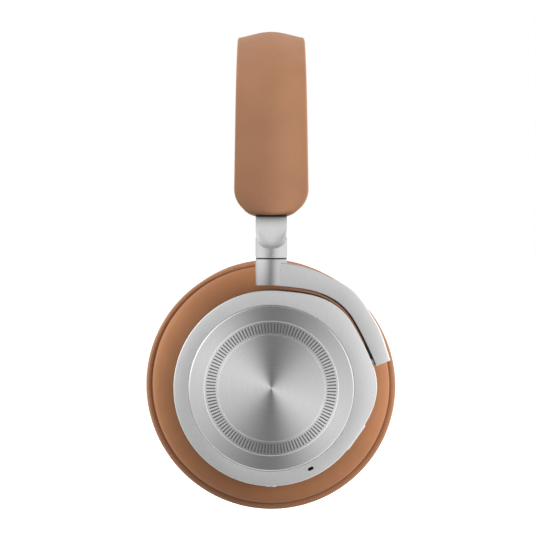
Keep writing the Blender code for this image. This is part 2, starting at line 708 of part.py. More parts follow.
def build_socket(side, sign, mats, parent):
    """The headphone jack in the left cup, and the charging port in the right one."""
    if side == "left":
        inner = radial_point(SOCKET_ANGLE, 27.8 * MM, 0, SOCKET_LIP)
        outer = radial_point(SOCKET_ANGLE, 38.75 * MM, 0, SOCKET_LIP)
        jack = plain_rod(inner, outer, JACK_RADIUS)
        jack = finish("audio_jack_left", jack, mats["steel"], parent, sign)
        deep = radial_point(SOCKET_ANGLE, 28.6 * MM, 0, SOCKET_LIP)
        past = radial_point(SOCKET_ANGLE, 40 * MM, 0, SOCKET_LIP)
        cut(jack, plain_rod(deep, past, JACK_BORE), sign)
        return
    wall = 0.4 * MM
    port = radial_block(SOCKET_ANGLE, (30.4 * MM, 38.5 * MM), PORT_HALF, PORT_LIPS)
    port = finish("usb_port_right", port, mats["steel"], parent, sign)
    inside = (PORT_LIPS[0] + wall, PORT_LIPS[1] - wall)
    cut(port, radial_block(SOCKET_ANGLE, (31.2 * MM, 40 * MM), PORT_HALF - wall, inside), sign)


def build_button(name, angle, half_across, proud, lips, sign, mats, parent):
    """A key whose outer face follows the cup's outline and stands a little proud of it."""
    steps = 6
    loops = []
    for lip in lips:
        loop = []
        for i in range(steps + 1):
            across = half_across * (1 - 2 * i / steps)
            turn = math.degrees(across / CUP_RADIUS)
            loop.append(radial_point(angle + turn, housing_radius(angle + turn) + proud, 0, lip))
        loop += [radial_point(angle, 35.3 * MM, across, lip) for across in (-half_across, half_across)]
        loops.append(loop)
    finish(name, loft(loops), mats["aluminium"], parent, sign)


# ---------------------------------------------------------------- assembly


def joint_empty(name, location, parent=None):
    empty = bpy.data.objects.new(name, None)
    bpy.context.scene.collection.objects.link(empty)
    empty.location = location
    bpy.context.view_layer.update()
    if parent is not None:
        empty.parent = parent
        empty.matrix_parent_inverse = parent.matrix_world.inverted()
    bpy.context.view_layer.update()
    return empty


def build_side(side, sign, mats):
    flip = Vector((1, sign, 1))
    arm = joint_empty(f"arm_{side}", Vector((0, AXIS_OUT, BAND_END_Z)) * flip)
    yoke = joint_empty(f"swivel_{side}", cup_point(0, HUB_TOP, 0) * flip, arm)
    pivot = radial_point(TILT_ANGLE, housing_radius(TILT_ANGLE), 0, TILT_LIP)
    cup = joint_empty(f"tilt_{side}", pivot * flip, yoke)
    build_slider_pocket(side, sign, mats)
    build_arm(side, sign, mats, arm)
    build_yoke(side, sign, mats, yoke)
    for build in (
        build_housing,
        build_disc,
        build_shell_and_baffle,
        build_driver,
        build_electronics,
        build_cushion,
        build_tilt_bush,
        build_socket,
    ):
        build(side, sign, mats, cup)
    key = joint_empty(f"button_{side}", radial_point(BUTTON_ANGLE, CUP_RADIUS, 0, 0) * flip, cup)
    name = "mode_button_left" if side == "left" else "assistant_button_right"
    build_button(name, BUTTON_ANGLE, BUTTON_HALF, 0.7 * MM, BUTTON_LIPS, sign, mats, key)
    if side == "right":
        slide = joint_empty("power", radial_point(POWER_ANGLE, CUP_RADIUS, 0, 0) * flip, cup)
        name = "power_slider_right"
        build_button(name, POWER_ANGLE, POWER_HALF, 0.6 * MM, POWER_LIPS, sign, mats, slide)


def main():
    clear_scene()
    mats = make_materials()
    build_headband(mats)
    for side, sign in SIDES.items():
        build_side(side, sign, mats)


main()
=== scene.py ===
"""Looks for the over ear headphones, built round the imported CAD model.

Cup pieces are made about their own cup's centre, with lip as the depth outwards from the swivel
axis. Headband pieces are swept along the headband's outer line. All sizes are in metres.
"""

import json
import math
from math import cos, degrees, dist, exp, hypot, pi, radians, sin, sqrt, tan

import bmesh
import bpy
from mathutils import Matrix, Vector, noise


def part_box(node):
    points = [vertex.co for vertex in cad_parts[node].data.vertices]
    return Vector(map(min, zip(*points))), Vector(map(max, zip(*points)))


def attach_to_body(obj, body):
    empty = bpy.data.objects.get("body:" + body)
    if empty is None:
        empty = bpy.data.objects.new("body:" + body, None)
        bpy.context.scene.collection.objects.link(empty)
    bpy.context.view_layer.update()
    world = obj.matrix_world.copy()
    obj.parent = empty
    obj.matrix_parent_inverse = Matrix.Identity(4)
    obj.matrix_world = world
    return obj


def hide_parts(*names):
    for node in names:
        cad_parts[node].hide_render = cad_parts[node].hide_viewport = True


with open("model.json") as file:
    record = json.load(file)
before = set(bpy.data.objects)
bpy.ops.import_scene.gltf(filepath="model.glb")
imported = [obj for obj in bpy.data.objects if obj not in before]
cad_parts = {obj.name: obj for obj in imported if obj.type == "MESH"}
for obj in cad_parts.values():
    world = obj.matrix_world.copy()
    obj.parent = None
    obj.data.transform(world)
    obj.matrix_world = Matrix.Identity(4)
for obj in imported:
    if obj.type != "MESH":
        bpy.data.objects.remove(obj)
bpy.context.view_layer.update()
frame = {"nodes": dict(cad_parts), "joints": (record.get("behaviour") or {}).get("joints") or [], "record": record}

MM = 0.001
SIDES = {"left": -1, "right": 1}
JOINTS = {joint["name"]: joint for joint in frame["joints"]}

# ---------------- sizes, from the frame


def size(node, axis):
    low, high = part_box(node)
    return high[axis] - low[axis]


def middle(node, axis):
    low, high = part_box(node)
    return (high[axis] + low[axis]) / 2


AXIS_OUT = JOINTS["swivel_right"]["pos_m"][1]
CUP_Z = middle("touch_disc_right", 2)
DISC_RADIUS = size("touch_disc_right", 0) / 2
DISC_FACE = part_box("touch_disc_right")[1].y - AXIS_OUT
DISC_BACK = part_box("touch_disc_right")[0].y - AXIS_OUT
FACE_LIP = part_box("cup_housing_right")[1].y - AXIS_OUT
RIM_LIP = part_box("cup_housing_right")[0].y - AXIS_OUT
PAD_RADIUS = size("ear_cushion_right", 0) / 2
HUB_RADIUS = size("slider_arm_right", 0) / 2
HUB_TOP = JOINTS["swivel_right"]["pos_m"][2]
BARREL_LOW, STRAP_TOP = (corner.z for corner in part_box("slider_arm_right"))
BAND_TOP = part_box("headband_cover")[1].z
BAND_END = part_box("headband_cover")[0].z

# The headband's outer line, seen from the front, as the CAD model has it: a short flat at the
# crown, then arcs given as (radius, tangent angle at its end)
BAND_FLAT = 4 * MM
BAND_ARCS = ((89 * MM, 31.0), (42 * MM, 78.0), (133 * MM, 93.75))
BAND_HALF_CROWN, BAND_HALF_END = 13.7 * MM, 14.8 * MM
BAND_RISE = 2.35 * MM
END_ACROSS, END_ALONG = 10.0 * MM, 10.6 * MM
COVER_WALL = 2.4 * MM
CAVITY_DEPTH = 6.3 * MM
POCKET_INNER_OUT = 60.6 * MM
CROWN_THICKNESS, END_THICKNESS = 13.0 * MM, 13.6 * MM

CUP_RADIUS = 38.35 * MM
HOUSING_WALL = 1.4 * MM
YOKE_GAP = 1.1 * MM
YOKE_LIPS = (-1.5 * MM, 5.6 * MM)
YOKE_ANGLES = (88.0, 12.0)
TILT_ANGLE, TILT_LIP = 15.7, 0.6 * MM
HUB_BOTTOM = 40.3 * MM  # above the cup's axis
BUTTON_ANGLE, BUTTON_HALF, BUTTON_LIPS = -30.5, 5.9 * MM, (-1.2 * MM, 2.4 * MM)
POWER_ANGLE, POWER_HALF, POWER_LIPS = -56.0, 2.4 * MM, (-0.8 * MM, 2.0 * MM)
KEY_PROUD = 0.6 * MM
MIC_ANGLE, MIC_RADIUS = -63.9, 35.5 * MM
SOCKET_ANGLE, SOCKET_LIP = -90, 0.3 * MM
GAP = 0.3 * MM
WASHER_REACH = 0.17 * MM  # the arm and the hub close in on the washer between them

TICKS = 120
TICK_RADII = (21.9 * MM, 25.5 * MM)
TICK_DEPTH, TICK_SHARE = 0.12 * MM, 0.38  # the share is of the pitch from tick to tick
GROOVE_RADII, GROOVE_DEPTHS = (20.95 * MM, 26.35 * MM), (0.13 * MM, 0.06 * MM)

ROUND = 192  # segments of the large round parts
# the cushion's sewn lines, as (radius, lip)
BACK_SEAM, FRONT_SEAM = (47.7 * MM, -21.9 * MM), (25.9 * MM, -36.2 * MM)
PUCKER_WIDTH = 2.2 * MM


# ---------------- materials


def node(tree, kind, sockets=None, **settings):
    made = tree.nodes.new("ShaderNode" + kind)
    for key, value in settings.items():
        setattr(made, key, value)
    for key, value in (sockets or {}).items():
        if isinstance(value, bpy.types.NodeSocket):
            tree.links.new(value, made.inputs[key])
        else:
            made.inputs[key].default_value = value
    return made


def new_material(name, roughness, metallic=0.0):
    made = bpy.data.materials.new(name)
    made.use_nodes = True
    shader = made.node_tree.nodes["Principled BSDF"]
    shader.label = made.name
    shader.inputs["Roughness"].default_value = roughness
    shader.inputs["Metallic"].default_value = metallic
    return made.node_tree, shader


def feed(shader, name, socket):
    """Drives one of a shader's inputs from a socket."""
    shader.id_data.links.new(socket, shader.inputs[name])


def axes_of(tree, space="Object"):
    return node(tree, "SeparateXYZ", {"Vector": node(tree, "TexCoord").outputs[space]}).outputs


def noise_of(tree, scale, detail=2.0, coords=None):
    coords = coords or node(tree, "TexCoord").outputs["Object"]
    sockets = {"Vector": coords, "Scale": scale, "Detail": detail}
    return node(tree, "TexNoise", sockets).outputs["Fac"]


def ramp(tree, value, stops):
    """A colour that follows (place, colour) stops."""
    made = node(tree, "ValToRGB", {"Fac": value})
    elements = made.color_ramp.elements
    while len(elements) < len(stops):
        elements.new(0.5)
    for element, (place, colour) in zip(elements, stops):
        element.position = place
        element.color = (*colour, 1.0)
    return made.outputs["Color"]


def tinted(tree, value, low, high, colour, dark, light):
    """A colour in two shades, from dark where a texture is low to light where it is high."""
    dark, light = (tuple(channel * share for channel in colour) for share in (dark, light))
    return ramp(tree, value, ((low, dark), (high, light)))


def spread(tree, value, low, high):
    """Turns a texture's 0.3 to 0.7 into low to high."""
    sockets = {"Value": value, "From Min": 0.3, "From Max": 0.7, "To Min": low, "To Max": high}
    return node(tree, "MapRange", sockets).outputs["Result"]


def maths(tree, operation, first, second=0.0):
    return node(tree, "Math", {0: first, 1: second}, operation=operation).outputs["Value"]


def times(tree, first, second):
    return maths(tree, "MULTIPLY", first, second)


def plus(tree, first, second):
    return maths(tree, "ADD", first, second)


def length_of(tree, first, second):
    """The length of a vector that has these two parts."""
    squares = [maths(tree, "POWER", part, 2.0) for part in (first, second)]
    return maths(tree, "SQRT", plus(tree, *squares))


def bump(tree, height, distance, strength=1.0, normal=None):
    sockets = {"Height": height, "Distance": distance, "Strength": strength}
    if normal is not None:
        sockets["Normal"] = normal
    return node(tree, "Bump", sockets).outputs["Normal"]


def leather(name, colour, pleats_and_shade=False):
    """Fine pebbled leather: cells about 0.6 mm across, with soft blotches of tone. With pleats, it also gets
    painted shade where other surfaces stand close.
    """
    tree, shader = new_material(name, 0.6)
    coords = node(tree, "TexCoord").outputs["Object"]
    drift = times(tree, noise_of(tree, 900.0, 2.0), 0.5 * MM)
    warped = node(tree, "VectorMath", {0: coords, 1: drift}, operation="ADD").outputs[0]
    cells = node(tree, "TexVoronoi", {"Vector": warped, "Scale": 1500.0}, feature="SMOOTH_F1")
    pores = noise_of(tree, 2600.0, 3.0)
    height = plus(tree, cells.outputs["Distance"], times(tree, pores, 0.6))
    normal = bump(tree, noise_of(tree, 160.0, 3.0), 0.35 * MM, 0.25)
    normal = bump(tree, height, 0.07 * MM, 0.55, normal)
    if pleats_and_shade:
        normal = pleat_bump(tree, normal)
    feed(shader, "Normal", normal)
    tone = plus(tree, noise_of(tree, 55.0, 4.0), times(tree, pores, 0.35))
    tone = maths(tree, "SUBTRACT", tone, 0.17)
    feed(shader, "Base Color", tinted(tree, tone, 0.3, 0.72, colour, 0.93, 1.06))
    feed(shader, "Roughness", spread(tree, pores, 0.52, 0.68))
    shader.inputs["Specular IOR Level"].default_value = 0.3
    if pleats_and_shade:
        # painted shade: the cushion's skirt is darkened where the housing stands close to it
        paint_hollow_shade(shader, 10 * MM, 0.5)
    return shader


def pleat_bump(tree, normal):
    """Small radial gathers in the leather of the ear cushion's rim, outside its back seam."""
    pleat_count, slant = 390.0, 1500.0
    axes = axes_of(tree)
    angle = maths(tree, "ARCTAN2", axes["Z"], axes["X"])
    wobble = plus(tree, times(tree, noise_of(tree, 200.0, 2.0), 8.0), times(tree, axes["Y"], slant))
    wave = maths(tree, "SINE", plus(tree, times(tree, angle, pleat_count), wobble))
    seam = BACK_SEAM[0]
    sockets = {"Value": length_of(tree, axes["X"], axes["Z"]), "From Min": seam, "From Max": seam + 0.8 * MM}
    rim = node(tree, "MapRange", sockets).outputs["Result"]
    return bump(tree, times(tree, wave, rim), 0.11 * MM, 0.8, normal)


def metal(name, colour, roughness, grain=(1.0, 1.0, 1.0), metallic=1.0):
    """Bead-blasted metal, or brushed where the grain is stretched."""
    tree, shader = new_material(name, roughness, metallic)
    coords = node(tree, "TexCoord").outputs["Object"]
    coords = node(tree, "Mapping", {"Vector": coords, "Scale": grain}).outputs["Vector"]
    specks = noise_of(tree, 3500.0, 3.0, coords)
    cloud = noise_of(tree, 45.0, 3.0)
    tone = plus(tree, times(tree, specks, 0.6), times(tree, cloud, 0.4))
    feed(shader, "Base Color", tinted(tree, tone, 0.35, 0.65, colour, 0.93, 1.05))
    feed(shader, "Roughness", spread(tree, specks, roughness - 0.05, roughness + 0.05))
    feed(shader, "Normal", bump(tree, specks, 0.004 * MM, 0.5))
    return shader


def paint_hollow_shade(shader, reach, darkest):
    """Paints shade into a material's colour: darkens it where other surfaces stand close to it, by an ambient
    occlusion mask.
    """
    tree = shader.id_data
    tone = shader.inputs["Base Color"].links[0].from_socket
    open_share = node(tree, "AmbientOcclusion", {"Distance": reach}, samples=8).outputs["AO"]
    sockets = {"Value": open_share, "From Min": 0.45, "From Max": 1.0, "To Min": darkest, "To Max": 1.0}
    factor = node(tree, "MapRange", sockets).outputs["Result"]
    painted_shade = node(tree, "VectorMath", {0: tone, 1: factor}, operation="MULTIPLY")
    feed(shader, "Base Color", painted_shade.outputs[0])
    return shader


def directional(shader, axis, amount, turn):
    """Gives a metal a brushed highlight about an axis of its object."""
    tangent = node(shader.id_data, "Tangent", direction_type="RADIAL", axis=axis)
    feed(shader, "Tangent", tangent.outputs["Tangent"])
    shader.inputs["Anisotropic"].default_value = amount
    shader.inputs["Anisotropic Rotation"].default_value = turn
    return shader


def spun_metal(name, colour, roughness):
    """A face turned on a lathe: fine rings of tone, with the highlight fanned across them."""
    tree, shader = new_material(name, roughness, 1.0)
    axes = axes_of(tree)
    ring = node(tree, "CombineXYZ", {"X": length_of(tree, axes["X"], axes["Z"])}).outputs["Vector"]
    fine, coarse = noise_of(tree, 5200.0, 1.0, ring), noise_of(tree, 1100.0, 0.0, ring)
    rings = plus(tree, times(tree, fine, 0.5), times(tree, coarse, 0.5))
    feed(shader, "Base Color", tinted(tree, rings, 0.35, 0.65, colour, 0.94, 1.03))
    feed(shader, "Roughness", spread(tree, rings, roughness - 0.03, roughness + 0.03))
    feed(shader, "Normal", bump(tree, rings, 0.001 * MM, 0.4))
    return directional(shader, "Y", 1.0, 0.25)


def plastic(name, colour, roughness):
    """Moulded plastic with a fine spark-eroded texture."""
    tree, shader = new_material(name, roughness)
    texture = noise_of(tree, 2800.0, 3.0)
    feed(shader, "Base Color", tinted(tree, texture, 0.35, 0.65, colour, 0.8, 1.25))
    feed(shader, "Roughness", spread(tree, texture, roughness - 0.07, roughness + 0.07))
    feed(shader, "Normal", bump(tree, texture, 0.02 * MM, 0.5))
    return shader


def woven(name, colour, pitch):
    """Open cloth: threads cross under and over at an even pitch."""
    tree, shader = new_material(name, 0.85)
    axes = axes_of(tree)
    turns = 2 * pi / pitch
    weave = times(tree, *(maths(tree, "SINE", times(tree, axes[axis], turns)) for axis in ("X", "Z")))
    feed(shader, "Base Color", tinted(tree, plus(tree, weave, 0.5), 0.2, 0.9, colour, 0.35, 1.6))
    feed(shader, "Normal", bump(tree, weave, 0.12 * MM, 0.8))
    shader.inputs["Sheen Weight"].default_value = 0.3
    return shader


def grey(level):
    return (level, level, level)


def make_materials():
    along, turned = (1.0, 1.0, 0.05), (0.05, 0.05, 1.0)
    brushed = metal("brushed_aluminium", grey(0.89), 0.5, along, 0.6)
    # painted shade on the strap: darker under the headband's end and in the fillet above the barrel's U-shaped
    # edge
    paint_hollow_shade(brushed, 4.5 * MM, 0.3)
    shaders = {
        "band": leather("tan_leather", (0.43, 0.21, 0.113)),
        "pad": leather("tan_pad_leather", (0.425, 0.184, 0.083), pleats_and_shade=True),
        "blasted": metal("blasted_aluminium", grey(0.90), 0.43, metallic=0.95),
        "brushed": directional(brushed, "Z", 0.4, 0.0),
        "barrel": metal("turned_aluminium", grey(0.57), 0.47, turned),
        "hub": metal("turned_hub_aluminium", grey(0.48), 0.44, turned),
        "spun": spun_metal("spun_aluminium", grey(0.97), 0.50),
        "polished": metal("polished_aluminium", grey(0.72), 0.25),
        "etched": metal("etched_aluminium", grey(0.24), 0.5),
        "steel": metal("plain_steel", (0.52, 0.52, 0.53), 0.3),
        "magnet": metal("plated_magnet", (0.22, 0.22, 0.23), 0.35),
        "black": plastic("black_plastic", (0.016, 0.016, 0.017), 0.5),
        "circuit": plastic("circuit_board", (0.02, 0.09, 0.05), 0.45),
        "film": plastic("driver_film", (0.22, 0.22, 0.23), 0.35),
        "foil": plastic("battery_foil", (0.10, 0.14, 0.25), 0.4),
        "cloth": woven("black_cloth", (0.030, 0.030, 0.031), 0.55 * MM),
    }
    return {look: bpy.data.materials[shader.label] for look, shader in shaders.items()}


# ---------------- meshes


def add_object(name, data, location=(0, 0, 0)):
    obj = bpy.data.objects.new(name, data)
    obj.location = location
    bpy.context.scene.collection.objects.link(obj)
    return obj


def loft(loops, closed=False):
    """Skins a row of point loops. A closed row makes a ring, and an open one is capped."""
    bm = bmesh.new()
    rows = [[bm.verts.new(point) for point in loop] for loop in loops]
    count = len(rows[0])
    pairs = list(zip(rows, rows[1:])) + ([(rows[-1], rows[0])] if closed else [])
    for low, high in pairs:
        for i in range(count):
            j = (i + 1) % count
            bm.faces.new((low[i], low[j], high[j], high[i]))
    if not closed:
        bm.faces.new(rows[0])
        bm.faces.new(rows[-1][::-1])
    return bm


def tidy(bm):
    bmesh.ops.remove_doubles(bm, verts=bm.verts, dist=0.002 * MM)
    bmesh.ops.recalc_face_normals(bm, faces=bm.faces)
    if bm.calc_volume(signed=True) < 0:
        bmesh.ops.reverse_faces(bm, faces=bm.faces)


def piece(name, bm, mats, sign=0, sharp=32.0):
    """Makes an object, measured from the centre of the cup on that side if it has one."""
    tidy(bm)
    mesh = bpy.data.meshes.new(name)
    bm.to_mesh(mesh)
    bm.free()
    mesh.shade_smooth()
    mesh.set_sharp_from_angle(angle=radians(sharp))
    for mat in mats:
        mesh.materials.append(mat)
    return add_object(name, mesh, cup_origin(sign) if sign else (0, 0, 0))


def settle(obj):
    """Applies an object's modifiers."""
    graph = bpy.context.evaluated_depsgraph_get()
    mesh = bpy.data.meshes.new_from_object(obj.evaluated_get(graph))
    obj.modifiers.clear()
    old, obj.data = obj.data, mesh
    mesh.name = obj.name
    bpy.data.meshes.remove(old)


def subdivide(obj):
    smooth = obj.modifiers.new("Smooth", "SUBSURF")
    smooth.levels = smooth.render_levels = 1
    settle(obj)


def combine(obj, bm, operation="DIFFERENCE", sharp=32.0):
    """Cuts bm from obj, or joins it on."""
    helper = piece(obj.name + "_helper", bm, [slot.material for slot in obj.material_slots])
    helper.location = obj.location
    modifier = obj.modifiers.new(operation, "BOOLEAN")
    modifier.operation = operation
    modifier.solver = "EXACT"
    modifier.object = helper
    settle(obj)
    bpy.data.objects.remove(helper)
    obj.data.shade_smooth()
    obj.data.set_sharp_from_angle(angle=radians(sharp))


def bore(obj, line, radius, low, high, segments=40, sharp=32.0):
    """Cuts a round hole along a line, from low to high along it."""
    combine(obj, bar(*line, [(low, radius), (high, radius)], segments), sharp=sharp)


def attach(obj, body, slot, *nodes):
    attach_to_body(obj, body)
    if nodes:
        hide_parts(*nodes)


def in_millimetres(points):
    return [tuple(value * MM for value in point) for point in points]


def rounded(corners, radii, steps=4):
    """Rounds each corner of a closed outline of (a, b) points."""
    points = []
    count = len(corners)
    for i, corner in enumerate(corners):
        corner = Vector(corner)
        before = Vector(corners[i - 1]) - corner
        after = Vector(corners[(i + 1) % count]) - corner
        if radii[i] == 0:
            points.append(corner)
            continue
        reach = radii[i] / tan(before.angle(after) / 2)
        reach = min(reach, 0.48 * before.length, 0.48 * after.length)
        start = corner + before.normalized() * reach
        end = corner + after.normalized() * reach
        for step in range(steps + 1):
            u = step / steps
            points.append((1 - u) ** 2 * start + 2 * u * (1 - u) * corner + u**2 * end)
    return points


def rounded_box(half, low, high, radius, steps):
    """A box with rounded corners, from -half to half across and from low to high."""
    return rounded([(-half, low), (half, low), (half, high), (-half, high)], [radius] * 4, steps)


def smooth_section(corners, count):
    """An even, smooth closed outline through (a, b) points."""
    points = [Vector(corner) for corner in corners]
    total = len(points)
    fine = []
    for i in range(total):
        p0, p1, p2, p3 = (points[(i + k - 1) % total] for k in range(4))
        for step in range(16):
            u = step / 16
            bend = 2 * p1 + (p2 - p0) * u + (2 * p0 - 5 * p1 + 4 * p2 - p3) * u**2
            fine.append((bend + (3 * p1 - p0 - 3 * p2 + p3) * u**3) / 2)
    lengths = [0.0]
    for a, b in zip(fine, fine[1:] + fine[:1]):
        lengths.append(lengths[-1] + (b - a).length)
    even = []
    at = 0
    for step in range(count):
        want = lengths[-1] * step / count
        while lengths[at + 1] < want:
            at += 1
        share = (want - lengths[at]) / (lengths[at + 1] - lengths[at])
        even.append(fine[at].lerp(fine[(at + 1) % len(fine)], share))
    return even


# ---------------- cup geometry


def cup_origin(sign):
    return Vector((0, sign * AXIS_OUT, CUP_Z))


def polar(angle, reach, lip, sign, across=0.0):
    """A point about the cup's centre. The angle is in degrees, from +X to +Z."""
    turn = radians(angle)
    x = reach * cos(turn) - across * sin(turn)
    up = reach * sin(turn) + across * cos(turn)
    return Vector((x, sign * lip, up))


def swell(angle, middle_angle, width):
    away = (angle - middle_angle + 180) % 360 - 180
    return cos(radians(90 * away / width)) ** 2 if abs(away) < width else 0.0


def housing_radius(angle):
    return CUP_RADIUS + 2.9 * MM * swell(angle, 49, 36) + 3.15 * MM * swell(angle, 2, 38)


def yoke_inner_radius(angle):
    return housing_radius(angle) + YOKE_GAP + 0.75 * MM * swell(angle, 90, 75)


def yoke_outer_radius(angle):
    radius = 48.6 * MM + 0.8 * MM * swell(angle, 90, 60)
    return radius + 1.1 * MM * swell(angle, 49, 16) - 0.75 * MM * swell(angle, 16, 18)


def ring(section_at, sign, segments=ROUND):
    """A ring about the cup's axis. section_at(angle) gives its (radius, lip) outline there."""
    angles = [360 * i / segments for i in range(segments)]
    loops = [[polar(angle, reach, lip, sign) for reach, lip in section_at(angle)] for angle in angles]
    return loft(loops, closed=True)


def spoke(angle, lip, sign, low, high):
    """The two ends of a line out from the cup's axis, from low to high in millimetres."""
    return [polar(angle, reach * MM, lip, sign) for reach in (low, high)]


def bar(start, end, steps, segments=32):
    """A round bar from start to end. steps is a list of (distance from start, radius)."""
    along = (end - start).normalized()
    side = along.orthogonal().normalized()
    up = along.cross(side)
    loops = []
    for distance, radius in steps:
        turns = [2 * pi * i / segments for i in range(segments)]
        centre = start + along * distance
        loops.append([centre + radius * (cos(t) * side + sin(t) * up) for t in turns])
    return loft(loops)


def capped(length, radius, edge):
    """Steps for a bar with small rounded edges at both ends."""
    turns = [radians(angle) for angle in (0, 30, 60, 90)]
    low = [(edge - edge * cos(t), radius - edge + edge * sin(t)) for t in turns]
    return low + [(length - distance, r) for distance, r in reversed(low)]


def slot_outline(half_length, radius, segments=12):
    """A slot with round ends, as (along, across) points."""
    points = []
    for end, start in ((half_length - radius, -90), (radius - half_length, 90)):
        for i in range(segments + 1):
            turn = radians(start + 180 * i / segments)
            points.append((end + radius * cos(turn), radius * sin(turn)))
    return points


def stood(outline, angle, radius, lips, sign):
    """An outline of (along, outward) points, stood on the cup's face and repeated at each lip."""
    return [[polar(angle, radius + b, lip, sign, a) for a, b in outline] for lip in lips]


# ---------------- cup pieces


def make_housing(side, sign, mats):
    recess, ledge = DISC_RADIUS + 0.1 * MM, 29.0 * MM
    ledge_lip, inside_lip = FACE_LIP - 1.5 * MM, FACE_LIP - 2.4 * MM
    fall = tan(radians(5.0))  # the face slopes back a little towards its outer edge

    def section(angle):
        edge = housing_radius(angle)
        wall = edge - HOUSING_WALL
        corners = [(edge - 0.5 * MM, RIM_LIP), (edge, FACE_LIP - 2.5 * MM)]
        corners += [(edge, FACE_LIP - fall * (edge - recess)), (recess, FACE_LIP), (recess, ledge_lip)]
        corners += [(ledge, ledge_lip), (ledge, inside_lip), (wall, inside_lip), (wall, RIM_LIP)]
        return rounded(corners, [0.15 * MM, 2 * MM, 0.35 * MM, 0.15 * MM, 0, 0, 0, 0, 0.15 * MM])

    housing = piece(f"housing_{side}", ring(section, sign, 240), [mats["blasted"]], sign)
    slot, lips = slot_outline(1.2 * MM, 0.64 * MM), (FACE_LIP - 3.5 * MM, FACE_LIP + MM)
    combine(housing, loft(stood(slot, MIC_ANGLE, MIC_RADIUS - 0.4 * MM, lips, sign)))
    bore(housing, spoke(TILT_ANGLE, TILT_LIP, sign, 35, 43), 2.5 * MM, 0, 8 * MM, 48)
    window = rounded_box(BUTTON_HALF, *BUTTON_LIPS, 1.2 * MM, 8)
    cut_window(housing, BUTTON_ANGLE, window, 0.25 * MM, sign)
    if side == "left":
        bore(housing, spoke(SOCKET_ANGLE, SOCKET_LIP, sign, 35, 41), 2.45 * MM, 0, 6 * MM, 48)
    else:
        port = [(a, b + SOCKET_LIP) for a, b in slot_outline(4.7 * MM, 1.65 * MM)]
        cut_window(housing, SOCKET_ANGLE, port, 0.0, sign)
        track = rounded_box(POWER_HALF + 1.6 * MM, -0.9 * MM, 2.1 * MM, 0.8 * MM, 6)
        cut_window(housing, POWER_ANGLE, track, 0.15 * MM, sign)
    attach(housing, f"cup_{side}", "aluminium", f"cup_housing_{side}")


def cut_window(housing, angle, outline, grow, sign):
    """Cuts a window through the housing's wall. outline is (across, lip) and grows by a margin."""
    centre = sum((Vector(point) for point in outline), Vector((0, 0))) / len(outline)
    loops = []
    for reach in (35.2 * MM, 43 * MM):
        loop = []
        for point in outline:
            away = Vector(point) - centre
            across, lip = centre + away * (1 + grow / away.length)
            loop.append(polar(angle, reach, lip, sign, across))
        loops.append(loop)
    combine(housing, loft(loops))


def make_disc(side, sign, mats):
    """The spun disc, with engraved ticks between two fine grooves and a polished edge."""
    columns = TICKS * 4
    groove, hub = 0.17 * MM, 1.5 * MM
    rows = [(hub, DISC_FACE)]
    for radius, depth in zip(GROOVE_RADII, GROOVE_DEPTHS):
        rows += [(radius - groove, DISC_FACE), (radius, DISC_FACE - depth), (radius + groove, DISC_FACE)]
    rows[4:4] = [(radius, DISC_FACE) for radius in TICK_RADII]
    rows += [(DISC_RADIUS - 0.5 * MM, DISC_FACE), (DISC_RADIUS - 0.08 * MM, DISC_FACE - 0.42 * MM)]
    rows += [(DISC_RADIUS, DISC_FACE - 0.6 * MM), (DISC_RADIUS, DISC_BACK), (hub, DISC_BACK)]
    loops = []
    for radius, lip in rows:
        loops.append([polar(column_angle(i), radius, lip, sign) for i in range(columns)])
    bm = loft(loops)
    bm.faces.ensure_lookup_table()
    first_tick = rows.index((TICK_RADII[0], DISC_FACE)) * columns
    ticks = [bm.faces[first_tick + i] for i in range(0, columns, 4)]
    looks = ["spun", "polished", "etched", "blasted"]
    edge_row = len(rows) - 5
    groove_walls = ((1, "polished"), (2, "blasted"), (6, "blasted"), (7, "blasted"))
    for row, look in (*groove_walls, (edge_row, "polished")):
        for i in range(columns):
            bm.faces[row * columns + i].material_index = looks.index(look)
    walls = bmesh.ops.inset_individual(bm, faces=ticks, thickness=0.05 * MM, depth=-TICK_DEPTH)
    if ticks[0].calc_center_median().y * sign > DISC_FACE:
        for face in ticks:
            bmesh.ops.translate(bm, verts=face.verts, vec=(0, -2 * sign * TICK_DEPTH, 0))
    for face in ticks + walls["faces"]:
        face.material_index = looks.index("etched")
    disc = piece(f"disc_{side}", bm, [mats[look] for look in looks], sign, 15)
    attach(disc, f"cup_{side}", "spun_aluminium", f"touch_disc_{side}")


def column_angle(i):
    """Each tick takes four columns: its own width, then three that share the space to the next."""
    tick, column = divmod(i, 4)
    return 360 / TICKS * (tick - TICK_SHARE / 2 + (0.0, TICK_SHARE, 0.58, 0.79)[column])


def make_shell(side, sign, mats):
    """The black inner shell. Its flange shows as a dark line beside the housing near the yoke."""

    def section(angle):
        flange = housing_radius(angle) / MM + 0.5 * swell(angle, 68, 42) - 0.1
        corners = [(36.6, -2.4), (36.6, -3.8), (flange, -3.8), (flange, -6.0), (36.6, -8.0)]
        corners += [(36.6, -9.0), (34.6, -10.2), (34.6, -19.0), (29.0, -19.0), (29.0, -17.6)]
        corners += [(33.4, -17.6), (33.4, -9.6), (35.2, -8.4), (35.2, -2.4)]
        return rounded(in_millimetres(corners), [0, 0, 0.3 * MM, 0.5 * MM] + [0] * 10, 3)

    shell = piece(f"shell_{side}", ring(section, sign), [mats["black"]], sign)
    attach(shell, f"cup_{side}", "black_plastic", f"inner_shell_{side}")


